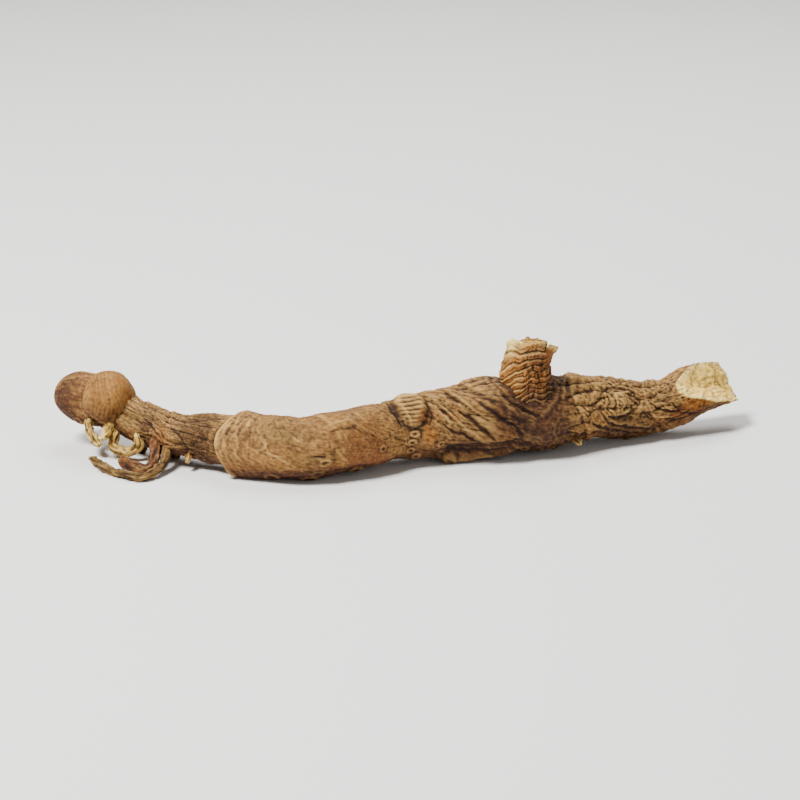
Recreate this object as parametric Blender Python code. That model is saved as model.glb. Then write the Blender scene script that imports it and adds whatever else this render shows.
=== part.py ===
"""A dried sweet flag root: one rhizome as harvested and dried, lying on a flat surface.

The rhizome runs from left to right along X and bows away from the viewer, towards +Y, at both ends.
It carries one broken shoot stub that stands up, one rounded side bud at the left end, slanting leaf
scar ridges, round root scars along its underside and a few shrivelled rootlets. All of it grew as
one piece, so it is one solid. Its underside is worn flat where it touches the surface at Z = 0.
"""

import bisect
import math
import random

import bmesh
import bpy
from mathutils import Vector, noise

MM = 0.001

# Driving dimension: the root's reach from its left tip to its right tip. Every station below is in
# hundredths of it.
LENGTH = 132 * MM
PERCENT = LENGTH / 100

# Stations along an axis: across (+X), back (+Y), up (+Z) and half thickness.
RHIZOME_STATIONS = (
    (-50.1, 16.7, 7.0, 3.33),
    (-46.6, 15.9, 7.0, 3.64),
    (-42.1, 14.1, 6.4, 3.48),
    (-39.1, 11.7, 5.6, 3.11),
    (-36.1, 10.0, 4.7, 2.92),
    (-33.2, 8.8, 4.0, 2.95),
    (-30.2, 6.5, 4.1, 3.11),
    (-27.3, 4.8, 4.3, 3.26),
    (-24.9, 3.8, 4.4, 3.48),
    (-21.8, 2.4, 4.5, 4.02),
    (-18.4, 1.2, 4.4, 4.32),
    (-13.1, 0.3, 4.4, 4.39),
    (-7.2, 2.1, 4.9, 4.58),
    (-1.3, 5.9, 5.0, 4.24),
    (2.3, 7.3, 5.2, 4.47),
    (6.2, 8.6, 5.3, 4.85),
    (10.1, 9.4, 5.6, 5.08),
    (14.1, 10.1, 6.1, 5.45),
    (21.0, 12.1, 6.0, 5.30),
    (24.9, 14.1, 5.8, 4.85),
    (27.9, 15.6, 5.6, 4.62),
    (31.2, 17.0, 5.1, 4.47),
    (34.8, 18.2, 4.5, 4.05),
    (37.7, 19.1, 4.5, 3.79),
    (40.7, 19.8, 4.9, 3.56),
    (43.6, 20.9, 6.0, 3.56),
    (47.2, 22.3, 6.8, 3.50),
)
SHOOT_STATIONS = (
    (18.5, 11.1, 5.3, 4.2),
    (18.5, 10.8, 8.3, 4.1),
    (18.6, 10.6, 11.4, 3.8),
    (18.6, 10.4, 14.4, 3.4),
    (18.9, 10.2, 17.6, 2.75),
)
BUD_STATIONS = (
    (-41.8, 14.3, 5.9, 2.4),
    (-41.7, 13.2, 7.0, 3.7),
    (-41.7, 11.7, 8.5, 3.8),
    (-41.7, 9.2, 11.1, 3.8),
)

# Rootlets: thickness in mm, then stations from a start well inside the rhizome: across, back and up.
ROOTLETS = (
    # Hooked one in front of the neck.
    (
        1.8,
        (
            (-40.1, 10.6, 4.9),
            (-40.9, 8.5, 2.1),
            (-39.7, 7.6, 1.4),
            (-38.1, 7.2, 1.4),
            (-37.0, 7.2, 2.6),
            (-37.4, 7.6, 3.9),
        ),
    ),
    # Short thick one beside it, and the torn strip that hangs under the bud.
    (1.8, ((-40.9, 11.7, 5.8), (-41.8, 8.8, 3.8), (-42.3, 7.4, 3.5))),
    (1.6, ((-44.6, 13.6, 5.7), (-44.6, 11.0, 3.9), (-43.8, 9.1, 2.8), (-42.9, 8.2, 2.0))),
    # Two that lie on the surface in front of the neck.
    (
        2.1,
        (
            (-35.2, 9.6, 4.3),
            (-34.5, 4.5, 2.2),
            (-35.2, 1.4, 0.8),
            (-37.1, 2.4, 0.75),
            (-38.5, 3.9, 0.8),
            (-39.6, 5.3, 0.9),
        ),
    ),
    (
        1.6,
        (
            (-32.6, 7.0, 4.1),
            (-33.2, 2.0, 1.4),
            (-35.8, -1.4, 0.6),
            (-38.5, -0.2, 0.6),
            (-41.5, 2.6, 0.6),
            (-43.8, 6.8, 0.6),
        ),
    ),
    # Thick broken root bases that the two ends stand on.
    (2.4, ((-31.8, 8.0, 4.0), (-31.9, 8.4, 1.9), (-32.1, 8.8, -0.3))),
    (2.2, ((-36.6, 10.2, 4.7), (-36.8, 10.6, 2.0), (-37.1, 11.0, -0.3))),
    (2.4, ((33.8, 18.0, 4.6), (33.9, 17.6, 2.0), (34.0, 17.3, -0.3))),
    (2.2, ((36.9, 18.9, 4.5), (37.0, 19.6, 2.0), (37.1, 20.1, -0.3))),
    # Short broken ones.
    (1.5, ((-29.6, 6.2, 4.1), (-29.6, 3.6, 2.3), (-29.7, 2.6, 1.5))),
    (1.5, ((-26.0, 5.6, 3.6), (-26.4, 9.0, 2.2), (-27.4, 10.6, 1.6))),
    (1.6, ((2.0, 8.6, 4.4), (1.8, 12.2, 2.6), (0.8, 13.6, 1.9))),
    (1.5, ((25.0, 12.6, 4.2), (26.2, 9.6, 2.7), (27.2, 8.6, 1.8))),
)

# Rings round the rhizome: where one crosses the axis, the side on which it reaches furthest left,
# how far it slants there, how pointed that side is, how high its lip stands and how far the lip
# fades. The last ring is the slanting break at the right end, which has no lip.
RINGS = (
    (-36.8, -80, 1.5 * MM, 0.3, 0.30 * MM, 2.0 * MM),
    (-31.8, -60, 2.0 * MM, 0.3, 0.30 * MM, 2.0 * MM),
    (-21.8, 75, 2.3 * MM, 0.3, 1.00 * MM, 3.5 * MM),
    (-10.5, -60, 3.0 * MM, 0.3, 0.40 * MM, 3.0 * MM),
    (0.5, -15, 1.8 * MM, 0.3, 0.35 * MM, 2.5 * MM),
    (8.2, -15, 6.3 * MM, 0.0, 0.50 * MM, 2.5 * MM),
    (12.5, -15, 8.0 * MM, 0.0, 0.65 * MM, 2.5 * MM),
    (15.8, -20, 7.0 * MM, 0.0, 0.30 * MM, 2.0 * MM),
    (25.9, 45, 2.2 * MM, 0.3, 0.60 * MM, 3.0 * MM),
    (38.1, 45, 3.0 * MM, 0.3, 0.35 * MM, 3.0 * MM),
    (47.2, 45, 7.0 * MM, 0.25, 0.0, 0.0),
)
LIP_EDGE = 0.45 * MM
GROOVE_OFFSET = 0.9 * MM
GROOVE_SHARE = 0.45

# Knobs on the skin: across, the side, the reach along and round, and the height.
KNOBS = (
    # Flat side bud on top of the middle, and an eye on the near side further right.
    (1.3, 32, 3.0 * MM, 3.9 * MM, 1.4 * MM),
    (30.9, 63, 3.0 * MM, 2.4 * MM, 1.2 * MM),
    # Root scars that show on the near side.
    (-31.0, 145, 1.1 * MM, 1.1 * MM, 0.5 * MM),
    (-11.9, 130, 1.1 * MM, 0.9 * MM, 0.4 * MM),
    (-11.0, 103, 1.5 * MM, 1.0 * MM, 0.5 * MM),
    (-4.3, 98, 1.0 * MM, 1.0 * MM, 0.5 * MM),
    (1.2, 84, 1.3 * MM, 0.8 * MM, 0.4 * MM),
    (0.8, 101, 1.3 * MM, 0.8 * MM, 0.4 * MM),
    (0.5, 119, 1.3 * MM, 0.8 * MM, 0.4 * MM),
    (5.1, 111, 1.1 * MM, 1.1 * MM, 0.5 * MM),
)
KNOB_EDGE = (0.6, 1.25)

# Root scars in two staggered rows along the underside.
ROOT_SCAR_RADIUS = 1.25 * MM
ROOT_SCAR_HEIGHT = 0.6 * MM
ROOT_SCAR_SPACING = 3.5 * MM
ROOT_SCAR_SWING = 34
ROOT_SCAR_JITTER = 10
ROOT_SCAR_SEED = 7

# Torn sheath edge low on the near side, with a groove above it.
SHEATH_EDGE = (4.6, 17.0)
SHEATH_FADE = 3 * MM
SHEATH_EDGE_ANGLE = 148
SHEATH_EDGE_HEIGHT = 1.2 * MM
SHEATH_EDGE_WIDTH = 1.0 * MM
SHEATH_GROOVE_ANGLE = 124
SHEATH_GROOVE_DEPTH = 0.8 * MM

# Shrinkage: creased folds along the rhizome and low lumps. Each place is across, how deep the folds
# are there as a share, and how far they twist round in degrees for each millimetre.
FOLD_LENGTH = 9 * MM
FOLDS_ROUND = 2.4
FOLD_DEPTH = 1.0 * MM
FOLD_CREASE = (0.22, 0.4)
FOLD_PLACES = (
    (-50, 0.5, 0.0),
    (-40, 0.9, 0.0),
    (-25, 1.0, 1.0),
    (-22, 0.25, 1.0),
    (-2, 0.3, 2.0),
    (4, 0.7, 4.0),
    (16, 1.2, 5.0),
    (24, 1.5, 1.0),
    (38, 1.5, 0.0),
    (50, 0.6, 0.0),
)
LUMP_LENGTH = 6.5 * MM
LUMPS_ROUND = 1.1
LUMP_HEIGHT = 0.7 * MM
LUMP_PATTERN = 5

# Wavy rings of the shoot stub: packed bases of leaves that rise to the right and level out at the
# broken top.
SHOOT_RING_SPACING = 1.5 * MM
SHOOT_RING_HEIGHT = 0.32 * MM
SHOOT_RING_UNEVENNESS = 1.2
SHOOT_RING_SLANT = 2.2 * MM
SHOOT_RING_SWAY = 1.0 * MM
SHOOT_SWAY_LENGTH = 5 * MM
SHOOT_SWAYS_ROUND = 2
SHOOT_LEVELLING = 0.75
SHOOT_LUMP_LENGTH = 3 * MM
SHOOT_LUMPS_ROUND = 2.2
SHOOT_LUMP_HEIGHT = 0.7 * MM

# Low lumps on the side bud and on the rootlets.
BUD_LUMP_LENGTH = 4 * MM
BUD_LUMPS_ROUND = 1.3
BUD_LUMP_HEIGHT = 0.5 * MM
ROOTLET_LUMP_LENGTH = 1.3 * MM
ROOTLET_LUMPS_ROUND = 1
ROOTLET_LUMP_HEIGHT = 0.35 * MM

# Rough surface of the broken ends.
BREAK_ROUGHNESS = 0.9 * MM
BREAK_GRAIN = 2.6 * MM

# Mesh density.
ROW_PITCH = 1.3 * MM
TIP_ROWS = 5
RHIZOME_FACE_ROWS = 4
RHIZOME_COLUMNS = 34
SHOOT_ROWS_PER_RING = 3
SHOOT_FACE_ROWS = 3
SHOOT_COLUMNS = 22
BUD_TIP_ROWS = 6
BUD_COLUMNS = 18
ROOTLET_COLUMNS = 6

UP = Vector((0, 0, 1))
LEFT = Vector((-1, 0, 0))
AXIS_SAMPLES = 600
FRAME_REACH = 12
WELD = 0.001 * MM
CLEAN = 0.02 * MM
SHARP_ANGLE = 50


def catmull_rom(t, before, low, high, after):
    """A smooth curve's value the share t of the way from low to high."""
    start = (high - before) / 2
    end = (after - low) / 2
    rise = high - low
    return low + start * t + (3 * rise - 2 * start - end) * t**2 + (start + end - 2 * rise) * t**3


class Axis:
    """A smooth line through stations, read by the distance from its start. Its sides turn round it
    from the zero side, which is either the same everywhere or carried along from the start."""

    def __init__(self, stations, zero_side, carried=False):
        rows = [self.curve(stations, i / AXIS_SAMPLES) for i in range(AXIS_SAMPLES + 1)]
        self.points = [Vector(row[:3]) for row in rows]
        self.halves = [row[3] for row in rows]
        self.reach = [0.0]
        for here, there in zip(self.points, self.points[1:]):
            self.reach.append(self.reach[-1] + (there - here).length)
        self.length = self.reach[-1]
        self.frames = []
        for step in range(AXIS_SAMPLES + 1):
            before = self.points[max(step - FRAME_REACH, 0)]
            after = self.points[min(step + FRAME_REACH, AXIS_SAMPLES)]
            along = (after - before).normalized()
            start = self.frames[-1][1] if carried and self.frames else zero_side
            zero = (start - along * start.dot(along)).normalized()
            self.frames.append((along, zero, along.cross(zero)))

    @staticmethod
    def curve(stations, share):
        """The point and half thickness the given share of the way through the stations."""
        place = share * (len(stations) - 1)
        first = min(int(place), len(stations) - 2)
        around = [stations[min(max(first + k, 0), len(stations) - 1)] for k in (-1, 0, 1, 2)]
        return [PERCENT * catmull_rom(place - first, *values) for values in zip(*around)]

    def at(self, distance):
        """Centre, half thickness, and the ways along, to the zero side and to the side at 90 degrees."""
        inside = min(max(distance, 0.0), self.length)
        step = min(max(bisect.bisect(self.reach, inside) - 1, 0), AXIS_SAMPLES - 1)
        share = (inside - self.reach[step]) / (self.reach[step + 1] - self.reach[step])
        centre = self.points[step].lerp(self.points[step + 1], share)
        half = self.halves[step] + (self.halves[step + 1] - self.halves[step]) * share
        pair = zip(self.frames[step], self.frames[step + 1])
        along, zero, side = [a.lerp(b, share).normalized() for a, b in pair]
        return centre + along * (distance - inside), half, along, zero, side

    def distance_at(self, across):
        """The distance along the axis at which it has come this far across."""
        nearest = min(range(len(self.points)), key=lambda i: abs(self.points[i].x - across * PERCENT))
        return self.reach[nearest]


def smooth(value, low, high):
    """0 below low, 1 above high, and an even slope between them."""
    share = min(max((value - low) / (high - low), 0.0), 1.0)
    return share * share * (3 - 2 * share)


def bell(value, width):
    """1 at zero, fading to nothing past about twice the width."""
    return math.exp(-((value / width) ** 2))


def angle_between(angle, other):
    """The signed angle from other to angle, the short way round."""
    return math.remainder(angle - other, 2 * math.pi)


def noise_round(along, angle, turns, pattern=0):
    """Seamless noise on a tube: turns sets how many lumps go round it."""
    return noise.noise((along, turns * math.cos(angle) + pattern, turns * math.sin(angle)))


def shoot_noise(along, angle, turns):
    """Another such noise, for the shoot stub."""
    return noise.noise((turns * math.cos(angle), turns * math.sin(angle), along))


def blended(table, value):
    """Straight-line reading of a table whose rows start with the value that they belong to."""
    after = bisect.bisect([row[0] for row in table], value)
    if after == 0:
        return table[0][1:]
    if after == len(table):
        return table[-1][1:]
    low, high = table[after - 1], table[after]
    share = (value - low[0]) / (high[0] - low[0])
    return [a + (b - a) * share for a, b in zip(low[1:], high[1:])]


def slant_table(axis):
    """The slant of the rings as waves round the rhizome, ready to be blended between them."""
    table = [(0.0, 0.0, 0.0, 0.0, 0.0)]
    for across, facing, slant, pointed, _, _ in RINGS:
        turn = math.radians(facing)
        once = (slant * math.cos(turn), slant * math.sin(turn))
        twice = (slant * pointed * math.cos(2 * turn), slant * pointed * math.sin(2 * turn))
        table.append((axis.distance_at(across), *once, *twice))
    return table


def fold_table(axis):
    """Depth and summed twist of the folds along the rhizome."""
    table = []
    turned = 0.0
    for across, depth, twist in FOLD_PLACES:
        distance = axis.distance_at(across)
        if table:
            turned += math.radians(twist) * (distance - table[-1][0]) / MM
        table.append((distance, depth, turned))
    return table


def knob_places(axis):
    """The set knobs, then root scars in staggered rows along the underside."""
    places = [(axis.distance_at(row[0]), math.radians(row[1]), *row[2:]) for row in KNOBS]
    draw = random.Random(ROOT_SCAR_SEED)
    for step in range(2, int(axis.length / ROOT_SCAR_SPACING) - 2):
        swing = ROOT_SCAR_SWING if step % 2 else -ROOT_SCAR_SWING
        distance = (step + draw.uniform(-0.25, 0.25)) * ROOT_SCAR_SPACING
        angle = math.radians(180 + swing + draw.uniform(-ROOT_SCAR_JITTER, ROOT_SCAR_JITTER))
        radius = ROOT_SCAR_RADIUS * draw.uniform(0.8, 1.15)
        places.append((distance, angle, radius, radius, ROOT_SCAR_HEIGHT * draw.uniform(0.7, 1.2)))
    return places


RHIZOME_AXIS = Axis(RHIZOME_STATIONS, UP)
SHOOT_AXIS = Axis(SHOOT_STATIONS, LEFT)
BUD_AXIS = Axis(BUD_STATIONS, LEFT)
SLANTS = slant_table(RHIZOME_AXIS)
FOLDS = fold_table(RHIZOME_AXIS)
KNOB_PLACES = knob_places(RHIZOME_AXIS)
LIPS = [(RHIZOME_AXIS.distance_at(ring[0]), ring[4], ring[5]) for ring in RINGS if ring[4]]
SHEATH_SPAN = tuple(RHIZOME_AXIS.distance_at(across) for across in SHEATH_EDGE)


def rhizome_lean(row, angle):
    """How far a row of the skin reaches to the left at this side, so that it follows the rings."""
    once_cos, once_sin, twice_cos, twice_sin = blended(SLANTS, row)
    once = once_cos * math.cos(angle) + once_sin * math.sin(angle)
    return once + twice_cos * math.cos(2 * angle) + twice_sin * math.sin(2 * angle)


def lip_relief(row):
    """Each ring's lip stands over a groove on its left and fades along the joint to its right."""
    height = 0.0
    for ring, lip, fade in LIPS:
        past = row - ring
        if past >= 0:
            height += lip * math.exp(-past / fade)
        else:
            groove = GROOVE_SHARE * bell(past + GROOVE_OFFSET, 2 * LIP_EDGE)
            height += lip * (bell(past, LIP_EDGE) - groove)
    return height


def knob_relief(distance, angle, half):
    height = 0.0
    for place, side, along, around, knob in KNOB_PLACES:
        if abs(distance - place) < KNOB_EDGE[1] * along:
            apart = math.hypot((distance - place) / along, half * angle_between(angle, side) / around)
            height += knob * (1 - smooth(apart, *KNOB_EDGE))
    return height


def sheath_relief(distance, angle, half):
    start, end = SHEATH_SPAN
    fade_in = smooth(distance, start, start + SHEATH_FADE)
    fade_out = 1 - smooth(distance, end - SHEATH_FADE, end)
    edge = half * angle_between(angle, math.radians(SHEATH_EDGE_ANGLE))
    groove = half * angle_between(angle, math.radians(SHEATH_GROOVE_ANGLE))
    ridge = SHEATH_EDGE_HEIGHT * bell(edge, SHEATH_EDGE_WIDTH)
    return fade_in * fade_out * (ridge - SHEATH_GROOVE_DEPTH * bell(groove, SHEATH_EDGE_WIDTH))


def fold_relief(row, angle):
    """Rounded folds with sharp creases between them, long along the rhizome."""
    depth, turned = blended(FOLDS, row)
    middle, top = FOLD_CREASE
    fold = abs(noise_round(row / FOLD_LENGTH, angle - turned, FOLDS_ROUND))
    return FOLD_DEPTH * depth * (min(fold, top) - middle)


def rhizome_relief(row, distance, angle, half):
    lumps = LUMP_HEIGHT * noise_round(distance / LUMP_LENGTH, angle, LUMPS_ROUND, LUMP_PATTERN)
    knobs = knob_relief(distance, angle, half)
    return lip_relief(row) + knobs + sheath_relief(distance, angle, half) + fold_relief(row, angle) + lumps


def shoot_lean(row, angle):
    """The rings lean and sway, but settle down towards the broken top."""
    sway = SHOOT_RING_SWAY * shoot_noise(row / SHOOT_SWAY_LENGTH, angle, SHOOT_SWAYS_ROUND)
    levelled = SHOOT_LEVELLING * smooth(row, SHOOT_AXIS.length / 2, SHOOT_AXIS.length)
    return (SHOOT_RING_SLANT * math.cos(angle) + sway) * (1 - levelled)


def shoot_relief(row, distance, angle, half):
    """Crests at the ring spacing, broken up by lumps."""
    crest = SHOOT_RING_HEIGHT * math.cos(2 * math.pi * row / SHOOT_RING_SPACING)
    lumps = shoot_noise(row / SHOOT_LUMP_LENGTH, angle, SHOOT_LUMPS_ROUND)
    return crest * (1 + SHOOT_RING_UNEVENNESS * lumps) + SHOOT_LUMP_HEIGHT * lumps


def bud_relief(row, distance, angle, half):
    return BUD_LUMP_HEIGHT * noise_round(distance / BUD_LUMP_LENGTH, angle, BUD_LUMPS_ROUND)


def rootlet_relief(row, distance, angle, half):
    lumps = noise_round(distance / ROOTLET_LUMP_LENGTH, angle, ROOTLET_LUMPS_ROUND)
    return ROOTLET_LUMP_HEIGHT * lumps


def upright(row, angle):
    return 0.0


def dome_rows(count, depth):
    """Rows of a rounded tip, from its pole to where it is full, each a distance and an inset."""
    turns = [math.pi / 2 * i / count for i in range(count)]
    return [(depth * (1 - math.cos(turn)), math.sin(turn)) for turn in turns]


def side_rows(marks, pitch):
    """Rows along the side on every mark, and evenly between them."""
    rows = [(marks[0], 1.0)]
    for low, high in zip(marks, marks[1:]):
        count = max(1, round((high - low) / pitch))
        rows += [(low + (high - low) * (i + 1) / count, 1.0) for i in range(count)]
    return rows


def face_rows(count, end):
    """Rows of a broken end face, from just inside its rim to its middle."""
    return [(end, 1 - (i + 1) / count) for i in range(count)]


def rolled_limb(name, axis, rows, columns, relief, lean=upright, roughness=0.0):
    """A sheet rolled round the axis and closed at both ends. Each row is a distance along the axis
    and an inset towards it. The lean shears the rows along the axis."""
    last_side = max(i for i, row in enumerate(rows) if row[1] == 1)
    mesh = bmesh.new()
    bmesh.ops.create_grid(mesh, x_segments=len(rows) - 1, y_segments=columns, size=1)
    for vertex in mesh.verts:
        number = round((vertex.co.x + 1) / 2 * (len(rows) - 1))
        angle = (vertex.co.y + 1) * math.pi
        row, inset = rows[number]
        distance = row - lean(row, angle) * inset
        centre, half, along, zero, side = axis.at(distance)
        out = zero * math.cos(angle) + side * math.sin(angle)
        place = centre + out * (half + relief(row, distance, angle, half)) * inset
        if number > last_side:
            place += along * roughness * noise.noise(place / BREAK_GRAIN)
        vertex.co = place
    bmesh.ops.remove_doubles(mesh, verts=mesh.verts, dist=WELD)
    bmesh.ops.recalc_face_normals(mesh, faces=mesh.faces)
    return new_object(name, mesh)


def new_object(name, mesh):
    data = bpy.data.meshes.new(name)
    mesh.to_mesh(data)
    mesh.free()
    made = bpy.data.objects.new(name, data)
    bpy.context.scene.collection.objects.link(made)
    return made


def rhizome():
    """The creeping stem itself, with a row of its mesh on every lip and in every groove."""
    dome = RHIZOME_AXIS.at(0)[1]
    end = RHIZOME_AXIS.length
    marks = sorted([dome, end] + [ring + offset for ring, _, _ in LIPS for offset in (-GROOVE_OFFSET, 0)])
    rows = dome_rows(TIP_ROWS, dome) + side_rows(marks, ROW_PITCH) + face_rows(RHIZOME_FACE_ROWS, end)
    return rolled_limb(
        "rhizome", RHIZOME_AXIS, rows, RHIZOME_COLUMNS, rhizome_relief, rhizome_lean, BREAK_ROUGHNESS
    )


def shoot_stub():
    top = SHOOT_AXIS.length
    side = side_rows([0.0, top], SHOOT_RING_SPACING / SHOOT_ROWS_PER_RING)
    rows = [(0.0, 0.0)] + side + face_rows(SHOOT_FACE_ROWS, top)
    return rolled_limb(
        "shoot_stub", SHOOT_AXIS, rows, SHOOT_COLUMNS, shoot_relief, shoot_lean, BREAK_ROUGHNESS
    )


def side_bud():
    dome = BUD_STATIONS[-1][3] * PERCENT
    pole = BUD_AXIS.length
    tip = [(pole - distance, inset) for distance, inset in reversed(dome_rows(BUD_TIP_ROWS, dome))]
    rows = [(0.0, 0.0)] + side_rows([0.0, pole - dome], ROW_PITCH) + tip
    return rolled_limb("side_bud", BUD_AXIS, rows, BUD_COLUMNS, bud_relief)


def rootlets():
    """The dried rootlets, each sunk well into the rhizome at its first station."""
    made = []
    for number, (thickness, stations) in enumerate(ROOTLETS):
        half = thickness * MM / 2 / PERCENT
        axis = Axis([(*place, half) for place in stations], LEFT, carried=True)
        rows = [(0.0, 0.0)] + side_rows([0.0, axis.length], ROW_PITCH) + [(axis.length, 0.0)]
        made.append(rolled_limb(f"rootlet_{number}", axis, rows, ROOTLET_COLUMNS, rootlet_relief))
    return made


def fuse(body, growths):
    """Joins the growths to the body in one closed skin."""
    group = bpy.data.collections.new("growths")
    bpy.context.scene.collection.children.link(group)
    for growth in growths:
        bpy.context.scene.collection.objects.unlink(growth)
        group.objects.link(growth)
    union = body.modifiers.new("growths", "BOOLEAN")
    union.operation = "UNION"
    union.operand_type = "COLLECTION"
    union.collection = group
    union.solver = "EXACT"
    bpy.context.view_layer.objects.active = body
    bpy.ops.object.modifier_apply(modifier=union.name)
    for growth in growths:
        bpy.data.objects.remove(growth)
    bpy.data.collections.remove(group)


def wear_flat(body):
    """Takes off what would lie below the surface, which leaves small flat spots to rest on."""
    mesh = bmesh.new()
    mesh.from_mesh(body.data)
    everything = mesh.verts[:] + mesh.edges[:] + mesh.faces[:]
    cut = bmesh.ops.bisect_plane(mesh, geom=everything, plane_co=(0, 0, 0), plane_no=UP, clear_inner=True)
    rims = [item for item in cut["geom_cut"] if isinstance(item, bmesh.types.BMEdge)]
    bmesh.ops.edgeloop_fill(mesh, edges=rims)
    bmesh.ops.dissolve_degenerate(mesh, edges=mesh.edges, dist=CLEAN)
    bmesh.ops.triangulate(mesh, faces=mesh.faces)
    bmesh.ops.recalc_face_normals(mesh, faces=mesh.faces)
    mesh.to_mesh(body.data)
    mesh.free()


def centre_over_origin(body):
    """Moves the mesh so that the middle of its box stands over the origin."""
    xs = [vertex.co.x for vertex in body.data.vertices]
    ys = [vertex.co.y for vertex in body.data.vertices]
    shift = Vector((-(min(xs) + max(xs)) / 2, -(min(ys) + max(ys)) / 2, 0))
    for vertex in body.data.vertices:
        vertex.co += shift


def bark():
    """Dry ochre brown bark, matt."""
    material = bpy.data.materials.new("bark")
    material.use_nodes = True
    shader = material.node_tree.nodes["Principled BSDF"]
    shader.inputs["Base Color"].default_value = (0.33, 0.19, 0.085, 1)
    shader.inputs["Roughness"].default_value = 0.8
    shader.inputs["Metallic"].default_value = 0.0
    return material


def main():
    for leftover in list(bpy.data.objects):
        bpy.data.objects.remove(leftover)
    body = rhizome()
    fuse(body, [shoot_stub(), side_bud(), *rootlets()])
    wear_flat(body)
    centre_over_origin(body)
    body.data.materials.append(bark())
    body.data.shade_smooth()
    body.data.set_sharp_from_angle(angle=math.radians(SHARP_ANGLE))


main()
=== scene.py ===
"""The look of a dried sweet flag root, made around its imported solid."""
import math
import random

import bmesh
import bpy
import numpy as np
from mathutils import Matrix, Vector, noise


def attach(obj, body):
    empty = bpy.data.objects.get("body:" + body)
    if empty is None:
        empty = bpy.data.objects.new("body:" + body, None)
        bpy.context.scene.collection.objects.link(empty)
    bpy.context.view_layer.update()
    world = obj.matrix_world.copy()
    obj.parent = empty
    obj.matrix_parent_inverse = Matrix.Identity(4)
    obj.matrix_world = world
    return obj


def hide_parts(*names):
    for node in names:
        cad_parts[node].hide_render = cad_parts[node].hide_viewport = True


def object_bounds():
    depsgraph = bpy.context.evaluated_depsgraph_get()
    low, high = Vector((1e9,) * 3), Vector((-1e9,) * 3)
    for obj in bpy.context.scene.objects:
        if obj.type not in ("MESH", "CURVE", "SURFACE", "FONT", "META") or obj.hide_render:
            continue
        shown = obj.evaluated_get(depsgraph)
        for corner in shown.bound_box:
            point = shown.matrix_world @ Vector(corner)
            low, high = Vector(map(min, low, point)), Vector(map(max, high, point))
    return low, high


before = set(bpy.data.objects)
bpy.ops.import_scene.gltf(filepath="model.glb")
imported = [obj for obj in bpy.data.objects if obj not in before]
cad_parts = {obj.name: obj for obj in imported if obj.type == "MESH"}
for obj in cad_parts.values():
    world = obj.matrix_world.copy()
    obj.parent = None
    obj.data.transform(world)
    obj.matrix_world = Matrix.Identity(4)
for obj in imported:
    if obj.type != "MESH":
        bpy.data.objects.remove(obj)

cad_box = [list(corner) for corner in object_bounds()]

# The rhizome.
# A creeping stem that grew under ground, shrank as it dried and was snapped off at its right end. Its
# skin is corky bark, folded along the stem and ringed by the scars of old leaves and their sheaths.

MM = 0.001
LENGTH = 132 * MM
PERCENT = LENGTH / 100
TO_ROW_FRAME = np.array((-0.730, -14.885, 0)) * MM
AXIS_SAMPLES = 600
FRAME_REACH = 12
SEAM_GAP = 0.001 * MM
UP = np.array((0.0, 0.0, 1.0))
LEFT = np.array((-1.0, 0.0, 0.0))


def unit(vectors):
    return vectors / np.linalg.norm(vectors, axis=-1, keepdims=True)


class Stem:
    """A smooth line through stations, each across, back, up and half thick in hundredths of LENGTH.
    Angles round it start from the zero side, or from that side as it is carried along from the start."""

    def __init__(self, stations, zero_side, carried=False):
        table = np.array(stations, float)
        last = len(stations) - 1
        places = np.linspace(0, last, AXIS_SAMPLES + 1)
        first = np.minimum(places.astype(int), last - 1)
        share = (places - first)[:, None]
        before, low, high, after = (table[np.clip(first + step, 0, last)] for step in (-1, 0, 1, 2))
        start, end, rise = (high - before) / 2, (after - low) / 2, high - low
        bend = (3 * rise - 2 * start - end) * share**2 + (start + end - 2 * rise) * share**3
        curve = PERCENT * (low + start * share + bend)
        self.points, self.halves = curve[:, :3], curve[:, 3]
        steps = np.linalg.norm(np.diff(self.points, axis=0), axis=1)
        self.reach = np.concatenate(([0], np.cumsum(steps)))
        self.length = self.reach[-1]
        index = np.arange(AXIS_SAMPLES + 1)
        ahead = self.points[np.minimum(index + FRAME_REACH, AXIS_SAMPLES)]
        self.along = unit(ahead - self.points[np.maximum(index - FRAME_REACH, 0)])
        zeros = [np.array(zero_side)]
        for along in self.along:
            wanted = zeros[-1] if carried else zeros[0]
            zeros.append(unit(wanted - along * wanted.dot(along)))
        self.zero = np.array(zeros[1:])
        self.side = np.cross(self.along, self.zero)

    def at(self, distance):
        """Centre, half thickness, and the ways along, to the zero side and to the side at 90 degrees."""
        inside = np.clip(distance, 0, self.length)

        def read(rows):
            return np.stack([np.interp(inside, self.reach, column) for column in rows.T], -1)

        along, zero, side = (unit(read(way)) for way in (self.along, self.zero, self.side))
        centre = read(self.points) + along * (distance - inside)[..., None]
        return centre, np.interp(inside, self.reach, self.halves), along, zero, side

    def distance_at(self, across):
        return self.reach[np.abs(self.points[:, 0] - across * PERCENT).argmin()]


def smooth(value, low, high):
    """0 up to low and 1 from high on, eased between. Low may also be the larger one."""
    share = np.clip((value - low) / (high - low), 0, 1)
    return share * share * (3 - 2 * share)


def bell(value, width):
    """1 at zero, falling off on both sides."""
    return np.exp(-((value / width) ** 2))


def turn_between(angle, other):
    """The shorter way round from the other angle."""
    return (angle - other + math.pi) % (2 * math.pi) - math.pi


def grain(x, y, z):
    """Smooth noise at each place."""
    x, y, z = np.broadcast_arrays(x, y, z)
    values = [noise.noise(place) for place in zip(x.ravel(), y.ravel(), z.ravel())]
    return np.array(values).reshape(x.shape)


def grain_at(places, size):
    """Noise in space, with lumps about this large."""
    return grain(*np.moveaxis(places / size, -1, 0))


def grain_round(along, angle, turns, pattern=0):
    """Noise without a seam on a tube, with about this many turns of it round the tube."""
    return grain(along, turns * np.cos(angle) + pattern, turns * np.sin(angle))


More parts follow.
